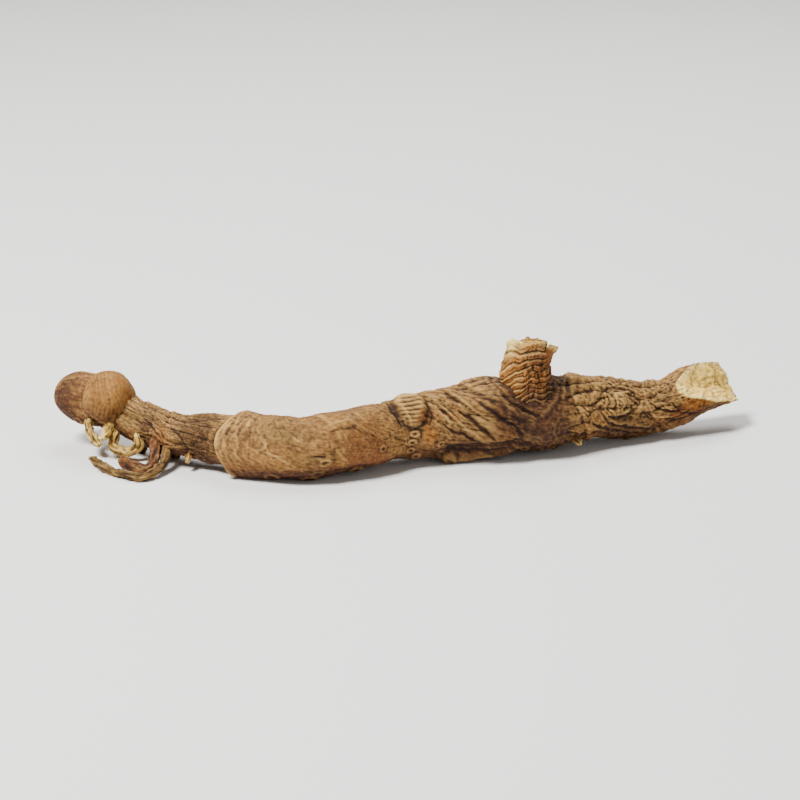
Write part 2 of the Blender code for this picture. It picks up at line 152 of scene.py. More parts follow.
def blurred(values, reach):
    """The mean over a square of points, round the seam as well. The last column repeats the first."""
    ring = values[:, :-1]
    ring = sum(np.roll(ring, step, 1) for step in range(-reach, reach + 1)) / (2 * reach + 1)
    padded = np.pad(ring, ((reach, reach), (0, 0)), mode="edge")
    ring = sum(padded[step : step + len(ring)] for step in range(2 * reach + 1)) / (2 * reach + 1)
    return np.concatenate((ring, ring[:, :1]), 1)


def dome_rows(count, depth):
    """Rows of a rounded tip from its pole, each a distance and an inset."""
    turns = np.pi / 2 * np.arange(count) / count
    return [(depth * (1 - math.cos(turn)), math.sin(turn)) for turn in turns]


def side_rows(start, end, apart):
    """Rows of full width along a side."""
    return [(distance, 1.0) for distance in np.linspace(start, end, round((end - start) / apart) + 1)]


def face_rows(end, count):
    """Rows of a flat end, from its rim to its middle."""
    return [(end, 1 - (step + 1) / count) for step in range(count)]


def sheet(rows, columns):
    """The distance and inset of each row, and the angle of each column, of a skin that is to be rolled."""
    row, inset = (np.array(values)[:, None] for values in zip(*rows))
    angle = np.linspace(-math.pi, math.pi, columns)[None, :]
    return row + 0 * angle, inset, angle


def out_of(zero, side, angle):
    """The way straight out of a stem at each angle round it."""
    return zero * np.cos(angle)[..., None] + side * np.sin(angle)[..., None]


def unrolled(row, radius, angle):
    """Places in mm that the fine lines of the finish follow, so that they run across the stem."""
    return np.stack((row / MM, radius / MM * np.cos(angle), radius / MM * np.sin(angle)), -1)


def piece_of(name, mesh):
    """An object made of this mesh, shaded smooth."""
    data = bpy.data.meshes.new(name)
    mesh.to_mesh(data)
    mesh.free()
    data.shade_smooth()
    piece = bpy.data.objects.new(name, data)
    bpy.context.scene.collection.objects.link(piece)
    return piece


def rolled(name, places, marks, skin):
    """A sheet of points rolled into a closed skin. Marks and skin are what the finish reads there."""
    places = places + TO_ROW_FRAME
    rows, columns = places.shape[:2]
    mesh = bmesh.new()
    bmesh.ops.create_grid(mesh, x_segments=rows - 1, y_segments=columns - 1, size=1)
    layers = [
        (mesh.verts.layers.float.new(mark), np.broadcast_to(values, (rows, columns)))
        for mark, values in marks.items()
    ]
    skin_layer = mesh.verts.layers.float_vector.new("skin")
    for vertex in mesh.verts:
        spot = (round((vertex.co.x + 1) / 2 * (rows - 1)), round((vertex.co.y + 1) / 2 * (columns - 1)))
        vertex.co = places[spot]
        vertex[skin_layer] = skin[spot]
        for layer, values in layers:
            vertex[layer] = values[spot]
    bmesh.ops.remove_doubles(mesh, verts=mesh.verts, dist=SEAM_GAP)
    bmesh.ops.recalc_face_normals(mesh, faces=mesh.faces)
    return piece_of(name, mesh)


RHIZOME_STATIONS = (
    (-50.1, 16.7, 7.0, 3.33),
    (-46.6, 15.9, 7.0, 3.64),
    (-42.1, 14.1, 6.4, 3.48),
    (-39.1, 11.7, 5.6, 3.11),
    (-36.1, 10.0, 4.7, 2.92),
    (-33.2, 8.8, 4.0, 2.95),
    (-30.2, 6.5, 4.1, 3.11),
    (-27.3, 4.8, 4.3, 3.26),
    (-24.9, 3.8, 4.4, 3.48),
    (-21.8, 2.4, 4.5, 4.02),
    (-18.4, 1.2, 4.4, 4.32),
    (-13.1, 0.3, 4.4, 4.39),
    (-7.2, 2.1, 4.9, 4.58),
    (-1.3, 5.9, 5.0, 4.24),
    (2.3, 7.3, 5.2, 4.47),
    (6.2, 8.6, 5.3, 4.85),
    (10.1, 9.4, 5.6, 5.08),
    (14.1, 10.1, 6.1, 5.45),
    (21.0, 12.1, 6.0, 5.30),
    (24.9, 14.1, 5.8, 4.85),
    (27.9, 15.6, 5.6, 4.62),
    (31.2, 17.0, 5.1, 4.47),
    (34.8, 18.2, 4.5, 4.05),
    (37.7, 19.1, 4.5, 3.79),
    (40.7, 19.8, 4.9, 3.56),
    (43.6, 20.9, 6.0, 3.56),
    (47.2, 22.3, 6.8, 3.50),
)
RHIZOME = Stem(RHIZOME_STATIONS, UP)
SHOOT = Stem(
    (
        (18.5, 11.1, 5.3, 4.2),
        (18.5, 10.8, 8.3, 4.1),
        (18.6, 10.6, 11.4, 3.8),
        (18.6, 10.4, 14.4, 3.4),
        (18.9, 10.2, 17.6, 2.75),
    ),
    LEFT,
)
BUD = Stem(
    ((-41.8, 14.3, 5.9, 2.4), (-41.7, 13.2, 7.0, 3.7), (-41.7, 11.7, 8.5, 3.8), (-41.7, 9.2, 11.1, 3.8)),
    LEFT,
)

# Leaf scar rings: across, the side in degrees that reaches furthest left, the slant there in mm, how
# pointed it is, the lip's height and how far it fades in mm, and how pale its edge is. The last ring is
# the slanting break.
BIG_SCAR = -21.8
RINGS = (
    (-36.8, -80, 1.5, 0.3, 0.30, 2.0, 0.3),
    (-31.8, -60, 2.0, 0.3, 0.30, 2.0, 0.3),
    (BIG_SCAR, 75, 2.3, 0.3, 1.00, 3.5, 0.9),
    (-10.5, -60, 3.0, 0.3, 0.40, 3.0, 0.4),
    (0.5, -15, 1.8, 0.3, 0.35, 2.5, 0.3),
    (8.2, -15, 6.3, 0.0, 0.50, 2.5, 0.6),
    (12.5, -15, 8.0, 0.0, 0.65, 2.5, 0.3),
    (15.8, -20, 7.0, 0.0, 0.30, 2.0, 0.2),
    (25.9, 45, 2.2, 0.3, 0.60, 3.0, 0.7),
    (38.1, 45, 3.0, 0.3, 0.35, 3.0, 0.3),
    (47.2, 45, 7.0, 0.25, 0.0, 1.0, 0.0),
)
LIP_EDGE = 0.45 * MM
GROOVE_OFFSET = 0.9 * MM
GROOVE_SHARE = 0.45

SLANTS = [(0.0, 0.0, 0.0, 0.0, 0.0)]
for ring, facing, slant, pointed, _, _, _ in RINGS:
    turn = math.radians(facing)
    waves = [math.cos(turn), math.sin(turn), pointed * math.cos(2 * turn), pointed * math.sin(2 * turn)]
    SLANTS.append((RHIZOME.distance_at(ring), *(slant * MM * wave for wave in waves)))
SLANTS = np.array(SLANTS)


def rhizome_lean(row, angle):
    """How far the skin's rows lean to the left at each angle, so that they follow the rings."""
    waves = (np.cos(angle), np.sin(angle), np.cos(2 * angle), np.sin(2 * angle))
    return sum(np.interp(row, SLANTS[:, 0], SLANTS[:, i + 1]) * wave for i, wave in enumerate(waves))


ROW_GAP = 0.24 * MM
DOME_ROWS = 20
BREAK_ROWS = 30
COLUMNS = 151
NEAR_SIDE = math.radians(65)
CROWDING = 0.3

rhizome_rows = dome_rows(DOME_ROWS, RHIZOME.halves[0])
rhizome_rows += side_rows(RHIZOME.halves[0], RHIZOME.length, ROW_GAP)
skin_rows = len(rhizome_rows)
rhizome_rows += face_rows(RHIZOME.length, BREAK_ROWS)
row, inset, angle = sheet(rhizome_rows, COLUMNS)
# The columns lie closer together on the near side, and the seam stays at the bottom.
angle = angle - CROWDING * (np.sin(angle - NEAR_SIDE) - math.sin(math.pi - NEAR_SIDE))
distance = row - rhizome_lean(row, angle) * inset
centre, half, along, zero, side = RHIZOME.at(distance)
outward = out_of(zero, side, angle)
across = np.interp(distance, RHIZOME.reach, RHIZOME.points[:, 0]) / PERCENT

relief = 0 * distance
pale_and_highlight = 0 * distance
deep = 0 * distance

for ring, facing, _, _, lip, fade, edge_pale in RINGS:
    past = row - RHIZOME.distance_at(ring)
    before = bell(past, LIP_EDGE) - GROOVE_SHARE * bell(past + GROOVE_OFFSET, 2 * LIP_EDGE)
    worn = 0.25 + 0.75 * smooth(np.cos(angle - math.radians(facing)), -0.7, 0.4)
    broken = np.clip(0.6 + 1.3 * grain_round(row / (1.6 * MM) + ring, angle, 4.0), 0, 1)
    if ring == BIG_SCAR:
        broken = 0.5 + 0.5 * broken
    else:
        worn = worn * np.clip(0.65 + grain_round(row / (4 * MM) + ring, angle, 2.4), 0.2, 1)
    relief += lip * MM * worn * np.where(past >= 0, np.exp(-np.maximum(past, 0) / (fade * MM)), before)
    pale_and_highlight += edge_pale * bell(past - 0.05 * MM, (0.15 + 0.15 * lip) * MM) * broken * worn
    # Painted shade in the groove before each lip.
    deep += 0.8 * min(lip, 0.9) * worn * bell(past + 0.45 * MM, 0.25 * MM) * (0.3 + 0.7 * broken)

# Faint arcs that follow the big scar's lip.
ARC_GAP = 0.85 * MM
past = row - RHIZOME.distance_at(BIG_SCAR)
faint = np.exp(-np.maximum(past, 0) / (3 * MM)) * smooth(past, 0, 0.8 * MM)
faint = faint * np.clip(0.5 + 1.6 * grain_round(row / (2 * MM), angle, 3, 21), 0, 1)
arc = (past / ARC_GAP + 0.5 * grain_round(row / (4 * MM), angle, 2, 23)) % 1
relief += 0.05 * MM * faint * np.cos(2 * math.pi * arc)
# The arcs' crests are pale and their troughs get painted shade.
pale_and_highlight += 0.25 * faint * bell(np.minimum(arc, 1 - arc), 0.17)
deep += 0.3 * faint * bell(arc - 0.5, 0.17)

# Shrinkage folds: across, how deep they are and how many degrees they twist for each millimetre.
FOLD_PLACES = np.array((
    (-50, 0.5, 0.0),
    (-40, 0.9, 0.0),
    (-25, 1.0, 1.0),
    (-22, 0.25, 1.0),
    (-2, 0.3, 2.0),
    (4, 0.7, 4.0),
    (16, 1.2, 5.0),
    (24, 1.5, 1.0),
    (38, 1.5, 0.0),
    (50, 0.6, 0.0),
))
fold_at = np.array([RHIZOME.distance_at(place) for place in FOLD_PLACES[:, 0]])
twists = np.radians(FOLD_PLACES[1:, 2]) * np.diff(fold_at) / MM
fold_turn = np.interp(row, fold_at, np.concatenate(([0], np.cumsum(twists))))
off_pole = smooth(inset, 0.3, 0.95)
fold_depth = off_pole * np.interp(row, fold_at, FOLD_PLACES[:, 1])
folds = np.abs(grain_round(row / (9 * MM), angle - fold_turn, 2.4))
relief += 0.8 * MM * fold_depth * (np.minimum(folds, 0.4) - 0.22)
# Painted shade in the creases of the folds.
deep += 0.5 * np.minimum(fold_depth, 1) * bell(folds, 0.04)
relief += 0.7 * MM * grain_round(distance / (6.5 * MM), angle, 1.1, 5)

# Buds and root scars: across, side in degrees, reach along and round in mm, and a scar's height. After
# those that show best, more scars follow each other in two rows under the rhizome.
FLAT_BUD = (1.3, 32, 3.0, 3.9)
FLAT_BUD_HEIGHT = 1.4 * MM
EYE = (30.9, 63, 3.0, 2.4)
EYE_HEIGHT = 0.66 * MM
SCARS = [
    (-34.3, 107, 0.7, 0.7, 0.4), (-31.0, 128, 0.8, 0.8, 0.5), (-11.9, 130, 1.1, 0.9, 0.4),
    (-11.0, 103, 1.0, 0.8, 0.35), (-4.3, 98, 0.8, 0.8, 0.5), (1.2, 84, 1.1, 0.65, 0.35),
    (0.8, 101, 1.1, 0.65, 0.35), (0.5, 119, 1.1, 0.65, 0.35), (5.1, 111, 0.8, 0.8, 0.5),
]
SCAR_GAP = 3.5 * MM
SCAR_SWING = 34
draw = random.Random(7)
for step in range(2, int(RHIZOME.length / SCAR_GAP) - 2):
    place = (step + draw.uniform(-0.25, 0.25)) * SCAR_GAP
    turn = 180 + (SCAR_SWING if step % 2 else -SCAR_SWING) + draw.uniform(-10, 10)
    radius = 1.25 * draw.uniform(0.8, 1.15)
    scar_across = np.interp(place, RHIZOME.reach, RHIZOME.points[:, 0]) / PERCENT
    SCARS.append((scar_across, turn, radius, radius, 0.6 * draw.uniform(0.7, 1.2)))


def apart_from(spot):
    """How far each point of the skin is from the middle of a bud, scar or patch, 1 at its edge."""
    spot_across, spot_turn, reach_along, reach_round = spot
    shift = (distance - RHIZOME.distance_at(spot_across)) / (reach_along * MM)
    return np.hypot(shift, half * turn_between(angle, math.radians(spot_turn)) / (reach_round * MM))


relief += FLAT_BUD_HEIGHT * (1 - smooth(apart_from(FLAT_BUD), 0.6, 1.25))
relief += EYE_HEIGHT * (1 - smooth(apart_from(EYE), 0.3, 1.3))
for *spot, height in SCARS:
    apart = apart_from(spot) + 0.12 * grain_round(distance / (0.8 * MM), angle, 7)
    relief += 0.45 * height * MM * (1 - smooth(apart, 0.7, 1.3))
    relief += MM * (0.1 * bell(apart - 0.75, 0.2) - 0.22 * bell(apart, 0.45))
    # Each scar has a pale rim, with painted shade in its pit and round its foot.
    pale_and_highlight += 0.35 * bell(apart - 0.8, 0.13)
    deep += 0.5 * bell(apart, 0.36) + 0.2 * bell(apart - 1.2, 0.14)

# Wrinkles across the flat bud, level as they are seen from the near side, and rings round the eye.
WRINKLE_GAP = 0.8
WRINKLE_RISE = np.array((-0.12, 0.31, 0.95))
apart = apart_from(FLAT_BUD)
on_bud = 1 - smooth(apart, 0.75, 1.05)
below_top = half * turn_between(angle, math.radians(10)) / MM
level = (centre + outward * (half + relief)[..., None]) @ WRINKLE_RISE / MM
wave = level / WRINKLE_GAP + 0.3 * grain_round(distance / (2.2 * MM), angle, 3, 17)
uneven = np.clip(0.85 + 0.7 * grain_round(distance / (2.5 * MM), angle, 4, 19), 0.5, 1) * on_bud
relief += 0.06 * MM * uneven * np.cos(2 * math.pi * wave)
# Pale crests on the wrinkles and a pale band near the bud's top; painted shade in their troughs and under
# the bud's lower rim.
pale_and_highlight += 0.6 * uneven * bell((wave + 0.5) % 1 - 0.5, 0.2) + 0.8 * on_bud * bell(below_top - 0.3, 0.7)
deep += 0.55 * uneven * bell(wave % 1 - 0.5, 0.12) + 0.6 * bell(apart - 1.1, 0.07) * smooth(level, 16, 12)
apart = apart_from(EYE)
whorl = 2.3 * apart + 1.5 * grain_round(distance / (2.4 * MM), angle, 2.8, 15)
near_eye = (1 - smooth(apart, 1.0, 2.1)) * smooth(apart, 0.1, 0.5)
relief += MM * near_eye * (0.07 * np.cos(2 * math.pi * whorl) - 0.07 * bell(whorl % 1 - 0.5, 0.12))
# Pale crests on the rings and a pale middle, with painted shade in the furrows between them.
pale_and_highlight += 0.45 * near_eye * bell((whorl + 0.5) % 1 - 0.5, 0.14) + 0.6 * bell(apart, 0.35)
deep += 0.5 * near_eye * bell(whorl % 1 - 0.5, 0.13)

# The torn edge of a sheath low on the near side, with a groove above it.
fade = smooth(across, 4.6, 6.9) * (1 - smooth(across, 14.7, 17.0))
relief += MM * fade * 1.2 * bell(half * turn_between(angle, math.radians(148)), MM)
relief -= MM * fade * 0.8 * bell(half * turn_between(angle, math.radians(124)), MM)

# Single lines on the skin, from thin ridges to furrows: height and width in mm, how pale it is, or if that
# is below 0 how dark the painted shade in it is, then across and degrees of its points.
LINES = (
    # Left lobe, neck and the olive band before the big scar.
    (0.07, 0.2, 0.5, ((-33.9, 62), (-32.8, 68), (-30.0, 76), (-28.2, 86))),
    (0.07, 0.2, 0.5, ((-33.4, 84), (-31.7, 88), (-29.5, 96), (-28.3, 103))),
    (0.09, 0.2, 0.6, ((-34.2, 30), (-32.0, 44), (-29.4, 56), (-27.6, 60))),
    (0.07, 0.2, 0.5, ((-31.8, 15), (-30.2, 30), (-28.6, 38))),
    (-0.19, 0.2, -0.8, ((-36.6, 40), (-34.6, 60), (-32.8, 76), (-31.0, 92))),
    (-0.15, 0.2, -0.7, ((-30.6, 52), (-29.2, 68), (-28.4, 90), (-28.2, 110))),
    (-0.11, 0.2, -0.5, ((-33.6, 100), (-31.6, 98), (-29.6, 96))),
    (0.18, 0.31, 0.4, ((-34.4, 106), (-31.8, 105), (-29.4, 102), (-27.4, 104))),
    # Arcs that lie inside the big scar, right of its lip.
    (0.09, 0.2, 0.5, ((-21.3, 2), (-21.6, 19), (-21.5, 39), (-21.0, 65), (-21.0, 90), (-20.4, 112))),
    (0.12, 0.3, 0.4, ((-22.8, 36), (-22.7, 57), (-22.3, 78))),
    (0.09, 0.25, 0.4, ((-19.6, 5), (-20.1, 25), (-19.8, 45))),
    (0.06, 0.2, 0.4, (
        (-18.8, 52), (-17.4, 60), (-17.3, 74), (-18.4, 82), (-19.6, 76), (-19.7, 62), (-18.8, 52),
    )),
    (0.08, 0.2, 0.6, ((-18.6, 48), (-17.4, 66), (-16.9, 84), (-15.8, 89), (-14.7, 99), (-13.8, 108))),
    (0.07, 0.2, 0.6, ((-14.3, 49), (-13.2, 61), (-12.0, 65), (-11.8, 80))),
    (-0.19, 0.2, -0.9, ((-12.0, 87), (-10.7, 92))),
    (0.14, 0.25, 0.5, ((-10.6, 40), (-9.2, 36), (-7.8, 33), (-7.0, 44), (-6.0, 57), (-4.6, 71))),
    (-0.15, 0.25, -0.5, ((-10.0, 50), (-8.6, 47), (-7.4, 50), (-6.6, 60))),
    (0.08, 0.2, 0.6, ((-7.0, 8), (-6.2, 29), (-5.6, 46))),
    (0.07, 0.2, 0.5, ((-10.1, 67), (-9.4, 90), (-8.1, 117))),
    (-0.26, 0.31, -0.8, ((-1.6, 5), (-1.6, 30), (-1.3, 50), (-0.9, 66))),
    # Right edge of the flat bud.
    (-0.22, 0.25, -0.7, ((3.4, 30), (3.8, 44), (4.0, 58), (3.4, 70))),
    # Diagonal folds where the stem twists, with furrows between them.
    (0.35, 0.5, 0.7, ((3.7, 35), (5.2, 52), (6.5, 71), (8.3, 80), (9.7, 88), (11.1, 103), (12.2, 122))),
    (-0.4, 0.35, -0.6, ((4.6, 66), (6.6, 86), (8.8, 96), (10.4, 112), (11.2, 126))),
    (0.5, 0.85, 0.5, ((8.4, 43), (10.1, 60), (11.6, 79), (13.2, 93), (14.8, 108), (15.6, 120))),
    (-0.5, 0.38, -0.65, ((8.3, 56), (10.4, 74), (11.8, 95), (12.9, 112))),
    (-0.5, 0.38, -0.65, ((11.1, 39), (12.4, 60), (13.9, 77), (15.6, 93), (17.0, 108))),
    (0.12, 0.22, 0.5, ((6.2, 36), (7.8, 54), (9.2, 70))),
    (-0.15, 0.2, -0.5, ((5.2, 32), (6.8, 52), (8.0, 66))),
    (0.3, 0.6, 0.4, ((12.6, 36), (14.2, 52), (15.8, 66), (17.6, 80))),
    (-0.4, 0.38, -0.6, ((14.2, 40), (15.8, 56), (17.4, 70), (19.2, 82))),
    (0.18, 0.25, 0.7, ((4.4, 139), (6.1, 141), (9.0, 147), (12.0, 148), (14.8, 147))),
    (-0.3, 0.22, -0.9, ((4.8, 126), (7.0, 130), (9.6, 135), (12.4, 137), (15.0, 136))),
    (0.12, 0.2, 0.4, ((5.6, 118), (8.0, 122), (11.0, 128))),
    # Right of the shoot: the scar line, the eye with its furrows and the torn layer under the break.
    (0.15, 0.22, 0.8, ((24.0, 20), (23.6, 45), (23.9, 68), (24.6, 82), (25.7, 96))),
    (0.12, 0.2, 0.7, ((24.2, 50), (24.9, 55), (25.7, 62), (26.0, 70))),
    (-0.3, 0.22, -0.9, ((27.6, 56), (28.4, 46), (30.4, 37), (32.4, 36), (34.4, 46))),
    (-0.34, 0.25, -1.0, ((29.0, 92), (30.6, 96), (32.2, 90), (33.4, 78), (34.4, 62))),
    (0.18, 0.25, 0.7, ((28.2, 64), (29.4, 52), (31.2, 47), (33.0, 54))),
    (0.18, 0.25, 0.7, ((29.2, 82), (30.6, 86), (32.2, 80), (33.2, 68))),
    (0.15, 0.25, 0.6, ((27.4, 34), (30.0, 24), (33.0, 24), (36.0, 36), (38.0, 52))),
    (-0.38, 0.31, -1.0, ((27.6, 84), (29.2, 104), (31.6, 112), (34.3, 114), (37.0, 132))),
    (0.24, 0.31, 0.6, ((28.6, 98), (31.0, 104), (33.6, 104), (36.4, 118), (38.4, 124))),
    (-0.38, 0.31, -1.0, ((26.4, 104), (29.1, 116), (32.9, 128), (35.5, 144))),
    (0.21, 0.28, 0.5, ((26.8, 112), (29.6, 124), (32.4, 138))),
    (0.18, 0.25, 0.6, ((35.0, 70), (36.4, 88), (38.4, 100), (40.0, 104))),
    (-0.26, 0.22, -0.8, ((35.6, 58), (37.2, 76), (39.2, 88), (40.6, 96))),
    (-0.26, 0.22, -0.9, ((39.8, 70), (40.9, 104), (42.8, 132), (45.3, 150))),
    (0.18, 0.31, 0.3, ((40.8, 66), (42.0, 92), (43.8, 122), (45.8, 146))),
)

# The lines wander a little, because they are read at places that noise has moved.
WANDER = 0.22 * MM
line_distance = distance + WANDER * grain_round(distance / (1.6 * MM), angle, 5)
line_angle = angle + WANDER * grain_round(distance / (1.6 * MM), angle, 5, 9) / half


def line_at(points, width):
    """How much each point of the skin lies on a line, 1 on it, thinner towards its ends."""
    spots = [(RHIZOME.distance_at(place), math.radians(turn)) for place, turn in points]
    nearest = np.full(line_distance.shape, 1.0)
    share = 0 * line_distance
    for number, (start, end) in enumerate(zip(spots, spots[1:])):
        dx, dy = line_distance - start[0], half * turn_between(line_angle, start[1])
        lx, ly = end[0] - start[0], half * (end[1] - start[1])
        step = np.clip((dx * lx + dy * ly) / (lx**2 + ly**2), 0, 1)
        gap = np.hypot(dx - step * lx, dy - step * ly)
        share = np.where(gap < nearest, (number + step) / (len(spots) - 1), share)
        nearest = np.minimum(nearest, gap)
    taper = 0.45 + 0.55 * np.sqrt(np.clip(4 * share * (1 - share), 0, 1))
    return bell(nearest, width * taper) * taper


patchy = np.clip(0.85 + 1.2 * grain_round(line_distance / (1.4 * MM), line_angle, 4.5, 33), 0.25, 1.2)
# Ridge lines are pale; furrow lines get painted shade.
for height, width, tone, points in LINES:
    line = line_at(points, width * MM)
    relief += height * MM * line
    pale_and_highlight += 0.6 * max(tone, 0) * line * patchy
    deep += max(-tone, 0) * line

# Fine relief: across, then how strong the cross wrinkles, the fibres along the stem, the network of thin
# creases and the small grains are.
FINE_PLACES = np.array((
    (-52, 0.15, 0.15, 0.05, 0.6),
    (-43, 0.2, 0.2, 0.1, 0.7),
    (-38, 0.3, 0.6, 0.2, 0.9),
    (-26, 0.3, 0.65, 0.15, 1.0),
    (-22, 0.35, 0.15, 0.05, 0.7),
    (-8, 0.2, 0.2, 0.2, 0.8),
    (-2, 0.2, 0.3, 0.35, 0.9),
    (4, 0.2, 0.3, 0.25, 1.2),
    (16, 0.2, 0.35, 0.35, 1.9),
    (24, 0.2, 0.3, 0.4, 2.3),
    (40, 0.2, 0.35, 0.45, 2.3),
    (48, 0.2, 0.7, 0.3, 1.3),
))
cross_share, fibre_share, net_share, grain_share = (
    off_pole * (1 - 0.8 * on_bud) * np.interp(across, FINE_PLACES[:, 0], FINE_PLACES[:, column])
    for column in (1, 2, 3, 4)
)
warp = 0.8 * MM * grain_round(distance / (3 * MM), angle, 3.5)
patchy = np.clip(0.6 + 1.6 * grain_round(distance / (5 * MM), angle, 2.0, 27), 0.15, 1.15)
net_turn = angle - 0.5 * fold_turn

# Thin creases where noise crosses zero, with small raised edges: the noise, the width, the depth in mm and
# the share. Each crease gets painted shade and its edges a painted highlight.
CREASES = (
    (grain_round((row + warp) / (1.5 * MM), angle, 1.5), 0.06, 0.10, cross_share),
    (grain_round((row + warp) / (0.8 * MM), angle, 3.0, 3), 0.07, 0.06, cross_share),
    (grain_round((distance + 2 * warp) / (11 * MM), angle - fold_turn, 6), 0.045, 0.16, fibre_share),
    (grain_round((distance + 2 * warp) / (7 * MM), angle - fold_turn, 11, 2), 0.06, 0.10, fibre_share),
    (grain_round(distance / (3.0 * MM), net_turn, 3.2, 7), 0.045, 0.20, net_share * patchy),
    (grain_round(distance / (1.6 * MM), net_turn, 6, 13), 0.05, 0.13, net_share * patchy),
)
for values, width, depth, share in CREASES:
    crease, edge = bell(values, width), bell(np.abs(values) - 3 * width, 1.2 * width)
    relief += MM * depth * share * (0.5 * edge - crease)
    deep += 0.7 * np.minimum(share, 1) * crease
    pale_and_highlight += 0.3 * np.minimum(share, 1) * edge
relief += 0.11 * MM * grain_share * grain_round(distance / (1.1 * MM), angle, 7.5, 11)
relief += 0.08 * MM * grain_share * grain_round(distance / (0.6 * MM), angle, 13, 4)

# The break: a ragged rim, and a face torn in steps.
to_end = RHIZOME.length - row
face = (np.arange(len(rhizome_rows)) >= skin_rows)[:, None] + 0 * angle
rim = bell(to_end, 1.2 * MM)
ragged = grain_round(distance / (2 * MM), angle, 3.2, 6)
places = centre + outward * ((half + relief) * inset)[..., None]
rough = 0.8 * MM * grain_at(places, 2.6 * MM)
rough += 0.32 * MM * grain_at(places, 0.9 * MM)
rough += 0.2 * MM * grain_at(places, 0.5 * MM)
places += along * (face * rough + rim * 0.5 * MM * ragged)[..., None]
places[..., 2] = np.maximum(places[..., 2], 0)

# Painted shade darkens the hollows and a painted highlight lightens the ridges; the torn face has its own
# pale rim and painted shade in its cracks as thin dark lines.
hollow = blurred(relief, 2) - relief
wide_hollow = blurred(relief, 7) - relief
deep += np.clip(hollow / (0.1 * MM), 0, 1.2) * 0.5 + np.clip(wide_hollow / (0.35 * MM), 0, 1) * 0.4
pale_and_highlight += np.clip(-hollow / (0.09 * MM), 0, 1) * 0.25 + np.clip(-wide_hollow / (0.45 * MM), 0, 1) * 0.1
pale_and_highlight = pale_and_highlight * (1 - face) + face * 0.8 * bell((1 - inset) * half, 0.7 * MM)
creases = np.clip((blurred(rough, 3) - rough) / (0.12 * MM), 0, 1)
creases += np.clip((blurred(rough, 1) - rough) / (0.05 * MM), 0, 1)
deep = deep * (1 - face) + 0.28 * face * creases


def clear_of(stem):
    """How far each point of the skin is from the side of another stem, in mm."""
    nearest = np.full(distance.shape, np.inf)
    for middle, wide in zip(stem.points[::20], stem.halves[::20]):
        nearest = np.minimum(nearest, np.linalg.norm(places - middle, axis=-1) - wide)
    return nearest / MM


# Painted shade round the foot of the shoot, where it meets the rhizome, and in the crease against the side
# bud, with a few wavy lines round the foot.
FOOT_LINE_GAP = 1.1
foot = clear_of(SHOOT) + 0.5 * grain_round(distance / (2 * MM), angle, 3.5, 31)
near_foot = 1 - smooth(foot, 2, 4)
deep += 0.7 * bell(foot, 0.5) + 0.5 * bell(foot % FOOT_LINE_GAP - 0.55, 0.16) * near_foot
pale_and_highlight += 0.6 * bell(foot % FOOT_LINE_GAP - 0.2, 0.14) * smooth(foot, 0.2, 0.6) * near_foot
deep += 0.55 * bell(clear_of(BUD), 0.3)

# Patches of tone: across, side in degrees, reach along and round in mm, strength. The dark and reddish
# patches low on the stem and under the neck are partly the bark's own tone and partly painted shade.
PATCHES = {
    "dusky": (
        (-47.5, 82, 4.2, 5.6, 1.0), (-48.2, 110, 2.6, 3.0, 1.0), (-31.0, 70, 8.0, 9.0, 0.38),
        (-35.3, 72, 1.8, 1.8, 0.9), (-32.0, 158, 9.0, 4.0, 0.9), (-38.5, 128, 4.0, 2.6, 0.8),
        (-26.0, 150, 3.0, 3.5, 0.7), (16.0, 70, 6.0, 4.0, 0.7), (20.5, 100, 5.0, 4.0, 0.6),
        (33.0, 118, 7.5, 3.0, 0.7), (-1.4, 40, 1.2, 3.0, 0.5), (10.0, 128, 5.0, 1.2, 0.8),
        (11.0, 80, 7.0, 5.0, 0.3), (18.0, 75, 7.5, 6.0, 0.5), (-27.0, 62, 4.2, 9.5, 0.85),
        (-31.0, 130, 8.0, 3.0, 1.0), (-12.0, 140, 12.0, 2.4, 0.8), (9.5, 112, 4.0, 2.0, 0.6),
        (-20.0, 178, 6.0, 3.0, 0.3), (24.0, 178, 12.0, 4.0, 0.4), (4.0, -150, 9.0, 4.0, 0.4),
    ),
    "ruddy": (
        (-6.2, 92, 4.5, 6.0, 0.55), (-15.0, 140, 8.0, 1.8, 0.7), (-4.0, 140, 6.0, 2.0, 0.5),
        (-32.0, 105, 3.2, 1.0, 1.0), (-31.0, 130, 8.0, 3.0, 0.8), (3.0, 58, 1.8, 1.6, 0.9),
        (-43.0, 20, 5.0, 5.0, 0.4), (42.0, 104, 4.5, 2.4, 1.0), (21.5, 60, 3.0, 3.0, 0.5),
        (17.5, 80, 6.0, 5.0, 0.6), (30.0, 140, 8.0, 3.0, 0.4), (-8.0, -110, 9.0, 5.0, 0.5),
        (20.0, -120, 9.0, 5.0, 0.4),
    ),
    "golden": (
        (3.4, 90, 1.5, 2.0, 0.9), (15.4, 112, 2.0, 1.6, 0.6), (-31.5, 85, 2.6, 3.2, 0.5),
        (7.8, 60, 1.5, 2.0, 0.3), (37.6, 110, 2.0, 1.6, 0.5), (43.6, 92, 4.0, 2.2, 1.0),
        (-14.0, -30, 6.0, 3.0, 0.3),
    ),
    "olive": (
        (-16.0, 42, 3.0, 2.4, 0.5), (-13.2, 90, 1.9, 1.8, 0.5), (-27.0, 60, 4.0, 9.5, 1.0),
        (-38.0, 70, 3.0, 3.0, 0.5), (1.2, 22, 2.2, 1.6, 0.5), (12.0, 78, 4.5, 1.2, 0.5),
        (25.0, 40, 2.5, 3.0, 0.3), (-20.0, -70, 6.0, 4.0, 0.4), (34.0, -60, 6.0, 4.0, 0.4),
    ),
}
marks = {}
for tone, patches in PATCHES.items():
    marks[tone] = 0 * distance
    torn = 0.45 * grain_round(distance / (1.3 * MM), angle, 4.6, len(tone))
    for *spot, strength in patches:
        marks[tone] = np.maximum(marks[tone], strength * (1 - smooth(apart_from(spot) + torn, 0.35, 1.3)))
